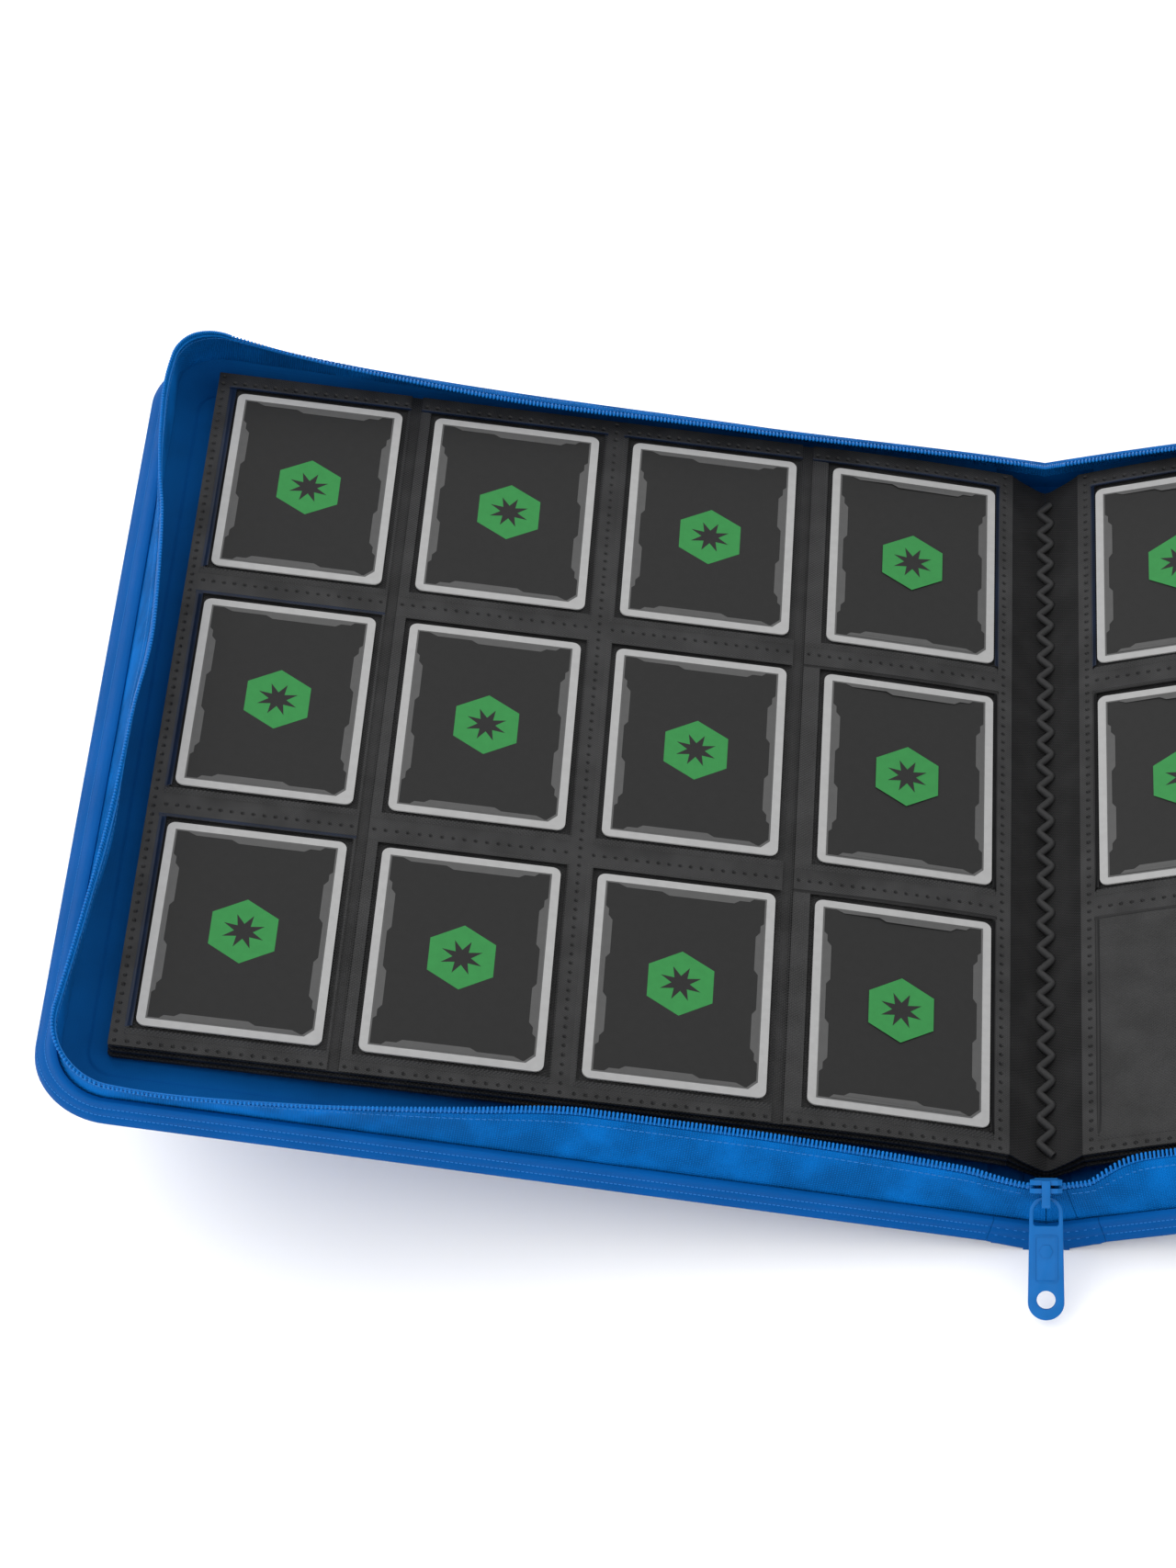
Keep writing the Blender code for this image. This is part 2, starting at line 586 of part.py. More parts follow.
def make_tab():
    """The pull tab: a ring at the top, a plain grip and a round hole near the tip."""
    hinge = pivot("pull_tab_axis", (0, TAB_AXIS_Y, TAB_AXIS_Z), turn_x=TAB_SLOPE)
    top_radius, tip_radius = 5.55 * MM, 6.1 * MM
    bar, ring_wall, ring_length = 0.75 * MM, 1.35 * MM, 9.4 * MM
    top_centre = bar - top_radius
    tip_centre = tip_radius - TAB_LENGTH
    outline = arc((0, top_centre), top_radius, 0, 180, 10) + arc((0, tip_centre), tip_radius, 180, 360, 10)
    inner = top_radius - ring_wall
    ring = arc((0, top_centre), inner, 0, 180, 8)
    ring += [(-inner, -ring_length), (inner, -ring_length)]
    hole = arc((0, tip_centre + 0.8 * MM), TAB_HOLE_RADIUS, 0, 337.5, 15)
    tab = link(flat_curve("pull_tab", [outline, ring, hole], TAB_THICKNESS), MATERIALS["metal"], hinge)
    return tab


clear_scene()
BINDER = new_collection("card_binder")
HELPERS = new_collection("helpers", hidden=True)
MATERIALS = make_materials()
make_spine()
for half_label, half_side in SIDES:
    make_spine_panel(half_label, half_side)
    make_cover(half_label, half_side)
    make_leaves(half_label, half_side, filled_rows=3 if half_side == LEFT else 2)
make_folds()
make_slider()
make_tab()
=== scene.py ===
"""Looks of the zip-round trading card binder: leatherette covers, zip tape, nylon coil, card pockets.

Metres, +Z up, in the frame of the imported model. side is -1 for the left half and +1 for the right half.
Reach runs outwards from the spine's middle along a cover or along the plane of a leaf's card faces.
"""

import math
from functools import partial

import bmesh
import bpy
import numpy as np
from mathutils import Matrix, Vector


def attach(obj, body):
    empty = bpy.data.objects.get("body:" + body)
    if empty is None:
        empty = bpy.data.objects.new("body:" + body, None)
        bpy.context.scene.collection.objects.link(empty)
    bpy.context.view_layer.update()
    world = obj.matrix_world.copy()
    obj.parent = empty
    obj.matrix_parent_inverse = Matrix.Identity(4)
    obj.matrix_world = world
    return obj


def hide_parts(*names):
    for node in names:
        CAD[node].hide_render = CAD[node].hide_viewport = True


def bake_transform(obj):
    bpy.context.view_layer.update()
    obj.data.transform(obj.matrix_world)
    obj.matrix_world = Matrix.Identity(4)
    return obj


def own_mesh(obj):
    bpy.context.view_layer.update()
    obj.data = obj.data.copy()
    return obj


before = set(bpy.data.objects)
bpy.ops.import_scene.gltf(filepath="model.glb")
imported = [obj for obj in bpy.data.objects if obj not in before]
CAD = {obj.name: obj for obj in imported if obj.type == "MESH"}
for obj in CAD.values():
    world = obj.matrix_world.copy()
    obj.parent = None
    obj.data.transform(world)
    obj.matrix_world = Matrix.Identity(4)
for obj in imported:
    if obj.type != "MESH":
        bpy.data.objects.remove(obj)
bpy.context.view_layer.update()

MM = 0.001
LEFT, RIGHT = -1, 1
SIDES = (("left", LEFT), ("right", RIGHT))

# The case.
CASE_HALF_LENGTH = 177.7 * MM
CASE_REACH = 348 * MM
CORNER_RADIUS = 27 * MM
COVER_TILT = math.radians(12.5)
BOARD_THICKNESS = 3.0 * MM
CREASE_REACH = 21.0 * MM  # the stiff board and the band start here
SPINE_THICKNESS = 2.2 * MM

# The wall round each cover.
BAND_HEIGHT = 13.6 * MM
BAND_UPRIGHT = 4.5 * MM
BAND_THICKNESS = 2.0 * MM
STITCH_HEIGHTS = (4.9 * MM, 9.2 * MM)
BAND_STITCH = (1.05 * MM, 0.19 * MM, 0.17 * MM)  # length, radius, thickness
STITCH_STEP = 1.5 * MM
VALLEY_OVERLAP = -0.12 * MM  # how far the halves' walls pass the spine's middle
TAPE_REACH = 13.6 * MM
TAPE_LENGTH = 17 * MM
TAPE_THICKNESS = 0.8 * MM
TAPE_SEAM = 14.4 * MM  # stitch line, up the tape from the band's top
COIL_LENGTH = 18.6 * MM
TOOTH_PITCH = 1.4 * MM
TOOTH = (2.9 * MM, 0.5 * MM, 0.62 * MM)
CORD_RADIUS = 0.5 * MM
TAPE_STEP = 2.2 * MM  # between stations along the tape
TAPE_STITCH = (1.7 * MM, 0.2 * MM, 0.2 * MM)
COVE_REACH = 17.2 * MM  # the lining's cove meets the floor this far in
FLOOR_HEIGHT = 3.9 * MM

# Shares of the way round a cover, from the spine's front end to its rear end, are in thousandths.
BAND_LEAN = ((0, 0.0), (307, 0.0), (350, 6.0 * MM), (640, 6.6 * MM), (693, 3.0 * MM), (900, 3.0 * MM),
             (1000, 0.6 * MM))
TAPE_LEAN_AT_SLIDER = {
    "left": ((0, 0), (10, 4), (21, 11), (90, 23)),
    "right": ((0, 0), (8, 0), (27, 40), (90, 36)),
}
TAPE_LEAN = ((150, 23), (187, 2), (219, -12), (250, -22), (285, -29), (307, -27), (325, -18), (350, -8),
             (428, 8), (476, 13), (508, 20), (534, 17), (570, 8), (590, -2), (611, -9), (640, -12),
             (662, 0), (680, 14), (693, 22), (720, 34), (750, 42), (807, 50), (880, 46), (1000, 44))
# How much more the tape's foot leans in than its middle, and its edge less, in degrees: an S where it sags.
TAPE_SAG = ((0, 0), (330, 0), (390, 16), (428, 34), (460, 14), (500, 0), (1000, 0))

# The leaves.
PAGE_TILT = math.radians(10.96)
PAGE_PLANE_HEIGHT = 23 * MM
LEAF_INNER, LEAF_OUTER = 12 * MM, 319 * MM
LEAF_FRONT, LEAF_REAR = -153.9 * MM, 163.1 * MM
LEAF_PITCH = 3.1 * MM
SHEET_TOP = -0.9 * MM
SHEET_THICKNESS = 1.2 * MM
CURL = ((12 * MM, 2.4 * MM), (18.5 * MM, 1.9 * MM), (26 * MM, 1.4 * MM), (36 * MM, 0.9 * MM),
        (48 * MM, 0.4 * MM), (60 * MM, 0.1 * MM), (70 * MM, 0.0))
FOLD_HEIGHTS = (12.2 * MM, 10.2 * MM, 8.2 * MM)
CARD_WIDTH, CARD_LENGTH, CARD_THICKNESS = 63 * MM, 88 * MM, 0.6 * MM
CARD_CENTRES = (279.3 * MM, 203.8 * MM, 127.7 * MM, 50.6 * MM)
ROW_CENTRES = (108.65 * MM, 4.15 * MM, -100.95 * MM)
POCKET_LENGTH = 96 * MM
PRINT_STEP = 0.03  # thickness of a printed layer, in millimetres
# Each film: its inner and outer edge, the edges and the dimples of its lengthwise weld, and its columns.
FILMS = {
    "outer": (245 * MM, 319 * MM, 314.6 * MM, 319 * MM, 317 * MM, (0,)),
    "middle": (94 * MM, 241 * MM, 163 * MM, 169 * MM, 166 * MM, (1, 2)),
    "inner": (12 * MM, 90 * MM, 12 * MM, 16.9 * MM, 15 * MM, (3,)),
}
WELD_LEVEL = -0.72 * MM  # top of a weld, from the card faces
DIMPLE_PITCH = 3.9 * MM
DIMPLE_RADIUS = 0.82 * MM

THREAD_RADIUS, THREAD_SWING, SEAM_PITCH = 1.35 * MM, 2.6 * MM, 10.5 * MM
TAB_AXIS = Vector((0, -178.9 * MM, 33.1 * MM))
TAB_SLOPE = math.radians(45.7)
SLIDER_SEAT, SLIDER_TILT = Vector((0, -175.4 * MM, 35.2 * MM)), math.radians(-51)
TAB_LENGTH, TAB_THICKNESS = 41.5 * MM, 1.6 * MM
STRAP_HALF_WIDTH = 1.45 * MM


# ---------------------------------------------------------------- materials


class Shader:
    """A procedural material under construction: one Principled node and the textures that feed it."""

    def __init__(self, name, colour, roughness, **sockets):
        self.material = bpy.data.materials.new(name)
        self.material.use_nodes = True
        self.tree = self.material.node_tree
        self.principled = self.tree.nodes["Principled BSDF"]
        self.colour = colour
        self.principled.inputs["Base Color"].default_value = (*colour, 1)
        self.principled.inputs["Roughness"].default_value = roughness
        for key, value in sockets.items():
            self.principled.inputs[key.replace("_", " ")].default_value = value
        self.height = None

    def feed(self, socket, value):
        if isinstance(value, bpy.types.NodeSocket):
            self.tree.links.new(value, socket)
        else:
            socket.default_value = value

    def node(self, kind, **inputs):
        made = self.tree.nodes.new("ShaderNode" + kind)
        for key, value in inputs.items():
            self.feed(made.inputs[key.replace("_", " ")], value)
        return made

    def place(self, mapped=False, turn=0.0, scale=(1, 1, 1)):
        """The piece's own coordinates in millimetres: its UV map, or its place in the frame."""
        coordinates = self.tree.nodes.new("ShaderNodeTexCoord")
        source = coordinates.outputs["UV" if mapped else "Object"]
        size = 1.0 if mapped else 1000.0
        made = self.node("Mapping", Vector=source, Rotation=(0, 0, turn),
                         Scale=tuple(size * s for s in scale))
        return made.outputs[0]

    def noise(self, place, scale, detail=3.0):
        return self.node("TexNoise", Vector=place, Scale=scale, Detail=detail).outputs["Fac"]

    def wave(self, place, period, direction="X", distortion=0.0):
        """Smooth ridges, that many millimetres apart."""
        made = self.node("TexWave", Vector=place, Scale=math.pi / 10 / period, Distortion=distortion)
        made.wave_type, made.bands_direction, made.wave_profile = "BANDS", direction, "SIN"
        return made.outputs["Fac"]

    def maths(self, operation, a, b=0.0):
        made = self.tree.nodes.new("ShaderNodeMath")
        made.operation = operation
        for socket, value in zip(made.inputs, (a, b)):
            self.feed(socket, value)
        return made.outputs[0]

    def mottle(self, fac, low, high):
        """Colour that varies between two shades of the base as fac goes from 0.3 to 0.7."""
        ramp = self.node("ValToRGB", Fac=fac)
        for element, place, level in zip(ramp.color_ramp.elements, (0.3, 0.7), (low, high)):
            element.position = place
            element.color = (*[min(1.0, c * level) for c in self.colour], 1)
        self.tree.links.new(ramp.outputs[0], self.principled.inputs["Base Color"])

    def roughen(self, fac, low, high):
        made = self.node("MapRange", Value=fac)
        made.inputs["To Min"].default_value = low
        made.inputs["To Max"].default_value = high
        self.tree.links.new(made.outputs[0], self.principled.inputs["Roughness"])

    def bump(self, fac, depth, strength=1.0):
        """Adds relief of that depth in metres."""
        made = self.node("Bump", Height=fac, Distance=depth, Strength=strength)
        if self.height is not None:
            self.tree.links.new(self.height, made.inputs["Normal"])
        self.height = made.outputs[0]
        self.tree.links.new(self.height, self.principled.inputs["Normal"])


def leatherette(name, colour):
    """Fine pebbled polyurethane: small cells, with broad faint shifts in shade and gloss."""
    made = Shader(name, colour, 0.55, Specular_IOR_Level=0.03)
    place = made.place()
    cells = made.node("TexVoronoi", Vector=place, Scale=1.35).outputs["Distance"]
    made.bump(cells, 0.00012, 0.55)
    made.bump(made.noise(place, 3.2, 5), 0.00010, 0.5)
    broad = made.noise(place, 0.035, 3)
    made.mottle(broad, 0.92, 1.08)
    made.roughen(made.noise(place, 0.12, 4), 0.44, 0.6)
    return made.material


def lining_cloth(name, colour):
    """Close twill: fine diagonal ribs broken by the cross threads."""
    made = Shader(name, colour, 0.85, Specular_IOR_Level=0.08)
    place = made.place()
    rib = made.wave(made.place(turn=math.radians(58)), 0.42)
    cross = made.wave(place, 0.5, "Y")
    weave = made.maths("MULTIPLY", rib, cross)
    made.bump(weave, 0.00007, 0.6)
    made.mottle(made.maths("ADD", made.maths("MULTIPLY", weave, 0.25), made.noise(place, 0.05, 3)), 0.9, 1.1)
    return made.material


def tape_cloth(name, colour):
    """Knitted zip tape: columns along its length, each of slanted stitches."""
    made = Shader(name, colour, 0.85, Specular_IOR_Level=0.05)
    along = made.place(mapped=True)
    column = made.wave(along, 0.85, "X")
    slanted = made.wave(made.place(mapped=True, turn=math.radians(24)), 0.9, "Y", distortion=0.4)
    knit = made.maths("MULTIPLY", column, slanted)
    made.bump(knit, 0.00045, 1.0)
    shade = made.maths("ADD", made.maths("MULTIPLY", knit, 0.6), made.noise(made.place(), 0.06, 3))
    made.mottle(made.maths("SUBTRACT", shade, 0.12), 0.62, 1.35)
    return made.material


def coil_nylon(name, colour):
    """Satin nylon with faint shifts in shade."""
    made = Shader(name, colour, 0.4, Specular_IOR_Level=0.14)
    place = made.place()
    made.mottle(made.noise(place, 0.5, 2), 0.92, 1.1)
    made.bump(made.noise(place, 4.0, 2), 0.00003, 0.4)
    return made.material


def painted_metal(name, colour):
    """Smooth lacquer over a die casting: slight orange peel and faint rubbed patches."""
    made = Shader(name, colour, 0.36, Specular_IOR_Level=0.12, Coat_Weight=0.04, Coat_Roughness=0.2)
    place = made.place()
    made.mottle(made.noise(place, 0.15, 3), 0.94, 1.06)
    made.roughen(made.noise(place, 0.6, 4), 0.32, 0.42)
    made.bump(made.noise(place, 1.3, 2), 0.00002, 0.2)
    return made.material


def embossed_plastic(name, colour, roughness, pitch, depth, gloss=0.22):
    """Black page plastic with a fine diamond emboss."""
    made = Shader(name, colour, roughness, Specular_IOR_Level=gloss)
    first = made.wave(made.place(turn=math.radians(52)), pitch)
    second = made.wave(made.place(turn=math.radians(-52)), pitch)
    diamonds = made.maths("MAXIMUM", first, second)
    made.bump(diamonds, depth, 0.8)
    made.bump(made.noise(made.place(), 0.9, 4), 0.00005, 0.35)
    shade = made.maths("ADD", made.maths("MULTIPLY", diamonds, -0.5), made.noise(made.place(), 0.08, 3))
    made.mottle(made.maths("ADD", shade, 0.36), 0.55, 1.6)
    return made.material


def clear_film(name, veil, alpha, roughness):
    """Clear film drawn tight over a card. It is fully see-through: the card's print carries its gloss."""
    made = Shader(name, (veil, veil, veil * 1.02), roughness, Alpha=alpha, Specular_IOR_Level=0.22)
    place = made.place()
    made.bump(made.noise(place, 0.06, 1), 0.0003, 0.2)
    made.mottle(made.noise(place, 0.05, 3), 0.85, 1.15)
    return made.material


def print_ink(name, colour):
    """Printed card: a hair of paper tooth and a faint unevenness of ink."""
    made = Shader(name, colour, 0.5, Specular_IOR_Level=0.10)
    place = made.place()
    made.mottle(made.noise(place, 0.35, 5), 0.96, 1.04)
    made.bump(made.noise(place, 1.2, 2), 0.00001, 0.1)
    return made.material


def twisted_thread(name, colour):
    """Thread of slanting strands."""
    made = Shader(name, colour, 0.6, Specular_IOR_Level=0.35)
    strand = made.wave(made.place(mapped=True, turn=math.radians(40)), 0.35)
    made.bump(strand, 0.00012, 0.8)
    made.mottle(strand, 0.75, 1.25)
    return made.material


LOOKS = {
    "cover": leatherette("leatherette", (0.0, 0.0626, 0.2414)),
    "lining": lining_cloth("lining_twill", (0.0003, 0.0672, 0.2436)),
    "tape": tape_cloth("zip_tape_knit", (0.0005, 0.1032, 0.3698)),
    "coil": coil_nylon("coil_nylon", (0.0014, 0.119, 0.399)),
    "metal": painted_metal("slider_lacquer", (0.0012, 0.096, 0.318)),
    "stitch": twisted_thread("stitch_thread", (0.007, 0.147, 0.462)),
    "sheet": embossed_plastic("page_plastic", (0.0126, 0.0126, 0.013), 0.5, 0.9, 0.0004),
    "weld": embossed_plastic("weld_plastic", (0.0176, 0.0176, 0.0181), 0.46, 0.7, 0.00018),
    "web": embossed_plastic("web_plastic", (0.0097, 0.0097, 0.0101), 0.55, 0.9, 0.0004, 0.18),
    "film": embossed_plastic("pocket_film_on_sheet", (0.0126, 0.0126, 0.013), 0.42, 0.9, 0.0003, 0.3),
    "sleeve": clear_film("pocket_film_over_card", 0.026, 0.0, 0.34),
    # painted shade: the channel plastic is darker than the sheet, for the shade in the film's channels and in
    # the weld dimples
    "channel": embossed_plastic("pocket_channel_painted_shade", (0.0034, 0.0034, 0.0038), 0.4, 0.8, 0.00003),
    # painted blue light: this channel plastic is tinted blue for the case's blue walls showing in the film in
    # the channels beside them
    "painted_blue_cast": embossed_plastic("pocket_painted_blue_cast", (0.0025, 0.0067, 0.0185), 0.4, 0.8,
                                     0.00003),
    "frame": print_ink("card_frame_grey", (0.290, 0.290, 0.290)),
    "face": print_ink("card_face_dark", (0.0176, 0.0176, 0.0176)),
    "line": print_ink("card_line_grey", (0.0798, 0.0798, 0.0798)),
    "accent": print_ink("card_accent_grey", (0.070, 0.070, 0.070)),
    "emblem": print_ink("card_emblem_green", (0.0286, 0.1806, 0.0479)),
    "thread": twisted_thread("seam_thread_black", (0.0168, 0.0168, 0.0176)),
}


# ---------------------------------------------------------------- mesh helpers


def piece(name, verts, faces, looks, body=None, uv=None, slots=None, angle=35.0):
    """A visible piece. uv has a pair in millimetres for each vertex, slots a material index for each face."""
    mesh = bpy.data.meshes.new(name)
    mesh.from_pydata([tuple(v) for v in verts], [], [tuple(f) for f in faces])
    for look in looks:
        mesh.materials.append(LOOKS[look])
    if slots is not None:
        mesh.polygons.foreach_set("material_index", slots)
    if uv is not None:
        layer = mesh.uv_layers.new(name="run")
        corners = np.empty(len(mesh.loops), dtype=np.int32)
        mesh.loops.foreach_get("vertex_index", corners)
        layer.uv.foreach_set("vector", np.asarray(uv, dtype=np.float32)[corners].ravel())
    mesh.shade_smooth()
    mesh.set_sharp_from_angle(angle=math.radians(angle))
    obj = bpy.data.objects.new(name, mesh)
    bpy.context.scene.collection.objects.link(obj)
    if body:
        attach(obj, body)
    return obj


def tidy_normals(obj):
    bm = bmesh.new()
    bm.from_mesh(obj.data)
    bmesh.ops.recalc_face_normals(bm, faces=bm.faces)
    bm.to_mesh(obj.data)
    bm.free()


def loft_faces(count, size, closed=True):
    """Quads between count rings of size points each. Closed rings have capped ends."""
    faces = []
    span = size if closed else size - 1
    for i in range(count - 1):
        for j in range(span):
            k = (j + 1) % size
            faces.append((i * size + j, i * size + k, (i + 1) * size + k, (i + 1) * size + j))
    if closed:
        faces.append(tuple(range(size))[::-1])
        faces.append(tuple(range((count - 1) * size, count * size)))
    return faces


def loft(name, rings, looks, body=None, angle=35.0):
    """A skin through rings of points, with its length and girth in millimetres as its UV map."""
    rings = np.asarray(rings)
    count, size = rings.shape[:2]
    run = np.zeros((count, size))
    run[1:] = np.cumsum(np.linalg.norm(np.diff(rings, axis=0), axis=2), axis=0)
    run = np.repeat(run.mean(axis=1)[:, None], size, axis=1)
    girth = np.zeros((count, size))
    girth[:, 1:] = np.cumsum(np.linalg.norm(np.diff(rings, axis=1), axis=2), axis=1)
    uv = np.stack((run, girth), axis=2).reshape(-1, 2) / MM
    made = piece(name, rings.reshape(-1, 3), loft_faces(count, size), looks, uv=uv, angle=angle)
    tidy_normals(made)
    if body:
        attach(made, body)
    return made



def capsule(sides=6):
    """Points and faces of a rounded bar along x from -0.5 to 0.5, of unit radius in y and z."""
    places = ((-0.5, 0.35), (-0.44, 0.8), (-0.34, 1.0), (0.34, 1.0), (0.44, 0.8), (0.5, 0.35))
    turns = [2 * math.pi * i / sides for i in range(sides)]
    points = [(x, r * math.cos(a), r * math.sin(a)) for x, r in places for a in turns]
    return np.array(points), loft_faces(len(places), sides)


def unit(vectors):
    vectors = np.asarray(vectors, dtype=float)
    return vectors / np.linalg.norm(vectors, axis=-1, keepdims=True)


def bars(name, places, along, out, length, radius, flat, looks, body):
    """One mesh of rounded bars, as stitches or teeth: at a place, along one way, flat towards another."""
    points, faces = capsule()
    along, out = unit(along), unit(out)
    across = np.cross(out, along)
    shapes = (np.asarray(places)[:, None]
              + along[:, None] * (points[:, 0] * length)[None, :, None]
              + across[:, None] * (points[:, 1] * radius)[None, :, None]
              + out[:, None] * (points[:, 2] * flat)[None, :, None])
    uv = np.stack((points[:, 0] * length, np.arctan2(points[:, 2], points[:, 1]) * radius), axis=1) / MM
    count, size = shapes.shape[:2]
    every = [tuple(i * size + v for v in face) for i in range(count) for face in faces]
    return piece(name, shapes.reshape(-1, 3), every, looks, body, np.tile(uv, (count, 1)), angle=60)


def eased(places, share):
    """A smooth curve through (thousandth, value) places."""
    xs = [p[0] for p in places]
    at = share * 1000
    i = max(0, min(len(xs) - 2, int(np.searchsorted(xs, at)) - 1))

    def slope(k):
        if k in (0, len(xs) - 1):
            return 0.0
        return (places[k + 1][1] - places[k - 1][1]) / (xs[k + 1] - xs[k - 1])

    step = xs[i + 1] - xs[i]
    t = min(1.0, max(0.0, (at - xs[i]) / step))
    low, high = places[i][1], places[i + 1][1]
    if low == high:
        return low
    return ((2 * t**3 - 3 * t * t + 1) * low + (t**3 - 2 * t * t + t) * step * slope(i)
            + (3 * t * t - 2 * t**3) * high + (t**3 - t * t) * step * slope(i + 1))


def smoothstep(x):
    x = np.clip(x, 0, 1)
    return x * x * (3 - 2 * x)


# ---------------------------------------------------------------- the covers and their walls


def cover_point(side, reach, y, height):
    sin, cos = math.sin(COVER_TILT), math.cos(COVER_TILT)
    return (side * (reach * cos - height * sin), y, reach * sin + height * cos)


def wall_path(start, step):
    """Stations round a cover, evenly spaced: (reach, y, inward reach, inward y, share of the way)."""
    half, reach, radius = CASE_HALF_LENGTH, CASE_REACH, CORNER_RADIUS
    straight, bend, side_run = reach - radius - start, math.pi / 2 * radius, 2 * (half - radius)
    total = 2 * straight + 2 * bend + side_run
    count = int(round(total / step))
    stations = []
    for i in range(count + 1):
        run = total * i / count
        share = run / total
        if run <= straight:
            stations.append((start + run, -half, 0, 1, share))
        elif run <= straight + bend:
            turn = (run - straight) / radius
            sin, cos = math.sin(turn), math.cos(turn)
            stations.append((reach - radius + radius * sin, -half + radius - radius * cos, -sin, cos, share))
        elif run <= straight + bend + side_run:
            stations.append((reach, -half + radius + run - straight - bend, -1, 0, share))
        elif run <= total - straight:
            turn = (run - straight - bend - side_run) / radius
            sin, cos = math.sin(turn), math.cos(turn)
            stations.append((reach - radius + radius * cos, half - radius + radius * sin, -cos, -sin, share))
        else:
            stations.append((start + total - run, half, 0, -1, share))
    return stations


def wall_point(side, station, inset, height):
    reach, y, inward_reach, inward_y, _share = station
    return cover_point(side, reach + inset * inward_reach, y + inset * inward_y, height)


def wall_rings(side, stations, section):
    return [[wall_point(side, s, inset, height) for inset, height in section(s[4])] for s in stations]


def band_face(top, height):
    """Inset of the band's outer face: puffed between its two rows of stitches."""
    lean = top * max(0.0, height - BAND_UPRIGHT) / (BAND_HEIGHT - BAND_UPRIGHT)
    pull = sum(0.32 * MM * math.exp(-(((height - h) / (0.8 * MM)) ** 2)) for h in STITCH_HEIGHTS)
    return lean + pull


def band_section(share):
    top = eased(BAND_LEAN, share)
    heights = [0.9, 2.0, 3.2, 4.0, 4.6, 4.9, 5.2, 5.9, 7.0, 8.2, 8.9, 9.2, 9.5, 10.4, 11.6, 12.6]
    outer = [(1.3 * MM, 0.02 * MM), (0.55 * MM, 0.2 * MM), (0.15 * MM, 0.5 * MM)]
    outer += [(band_face(top, h * MM), h * MM) for h in heights]
    outer += [(top + 0.25 * MM, BAND_HEIGHT - 0.3 * MM), (top + 0.8 * MM, BAND_HEIGHT)]
    inner = [(top + BAND_THICKNESS - 0.4 * MM, BAND_HEIGHT), (top + BAND_THICKNESS, BAND_HEIGHT - 0.5 * MM),
             (BAND_THICKNESS + band_face(top, 8 * MM), 8 * MM), (BAND_THICKNESS, BAND_UPRIGHT),
             (BAND_THICKNESS, 0.3 * MM)]
    return outer + inner


def tape_line(label, share, steps=14):
    """The tape's middle line up from the band's top: (inset, height, lean) at even steps to the coil."""
    lean = math.radians(eased(TAPE_LEAN_AT_SLIDER[label] + TAPE_LEAN, share))
    sag = math.radians(eased(TAPE_SAG, share))
    inset = eased(BAND_LEAN, share) + BAND_THICKNESS + 0.3 * MM + TAPE_THICKNESS / 2
    height = BAND_HEIGHT
    line = []
    for i in range(steps + 1):
        t = i / steps
        angle = lean * (0.55 + 0.9 * t) + sag * math.cos(math.pi * t)
        line.append((inset, height, angle))
        inset += COIL_LENGTH / steps * math.sin(angle)
        height += COIL_LENGTH / steps * math.cos(angle)
    return line


def tape_at(line, along):
    """(inset, height, lean) at a distance up the tape."""
    at = along / COIL_LENGTH * (len(line) - 1)
    i = min(int(at), len(line) - 2)
    t = at - i
    return tuple(a + (b - a) * t for a, b in zip(line[i], line[i + 1]))


def off_tape(place, side_step):
    """The place that far in from the tape's middle line, square to it."""
    inset, height, lean = place
    return inset + side_step * math.cos(lean), height - side_step * math.sin(lean)


def tape_section(label, share):
    line = tape_line(label, share)
    places = [tape_at(line, TAPE_LENGTH * i / 11) for i in range(12)]
    half = TAPE_THICKNESS / 2
    top = eased(BAND_LEAN, share)
    foot = top * 0.55 + BAND_THICKNESS + 0.35 * MM
    outer = [(foot, 9.6 * MM)] + [off_tape(p, -half) for p in places]
    inner = [off_tape(p, half) for p in places[::-1]] + [(foot + TAPE_THICKNESS, 9.6 * MM)]
    return outer + inner


def make_wall(label, side):
    body = label + "_cover"
    stations = wall_path(CREASE_REACH, 2.4 * MM)
    band = loft(label + "_band_cover", wall_rings(side, stations, band_section), ["cover"], body)
    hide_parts(label + "_side_band")
    make_band_stitches(label, side, body)

    rings = wall_rings(side, wall_path(TAPE_REACH, TAPE_STEP), partial(tape_section, label))
    tape = loft(label + "_tape_cloth", rings, ["tape"], body)
    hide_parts(label + "_zip_tape")
    soft = [tape]
    soft += make_teeth(label, side, body)
    soft += make_tape_stitches(label, side, body)
    base = Vector(cover_point(side, 0.2, 0, BAND_HEIGHT))
    up = Vector(cover_point(side, 0.2, 0, BAND_HEIGHT + 1)) - base
    for obj in soft:
        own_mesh(obj)


def make_band_stitches(label, side, body):
    places, along, out = [], [], []
    stations = wall_path(CREASE_REACH, STITCH_STEP)
    for before, station, after in zip(stations, stations[1:], stations[2:]):
        top = eased(BAND_LEAN, station[4])
        for height in STITCH_HEIGHTS:
            inset = band_face(top, height) - 0.02 * MM
            places.append(wall_point(side, station, inset, height))
            along.append(np.subtract(wall_point(side, after, inset, height),
                                     wall_point(side, before, inset, height)))
            out.append(np.subtract(places[-1], wall_point(side, station, inset + 1 * MM, height)))
    stitches = bars(label + "_band_stitches", places, along, out, *BAND_STITCH, ["stitch"], body)


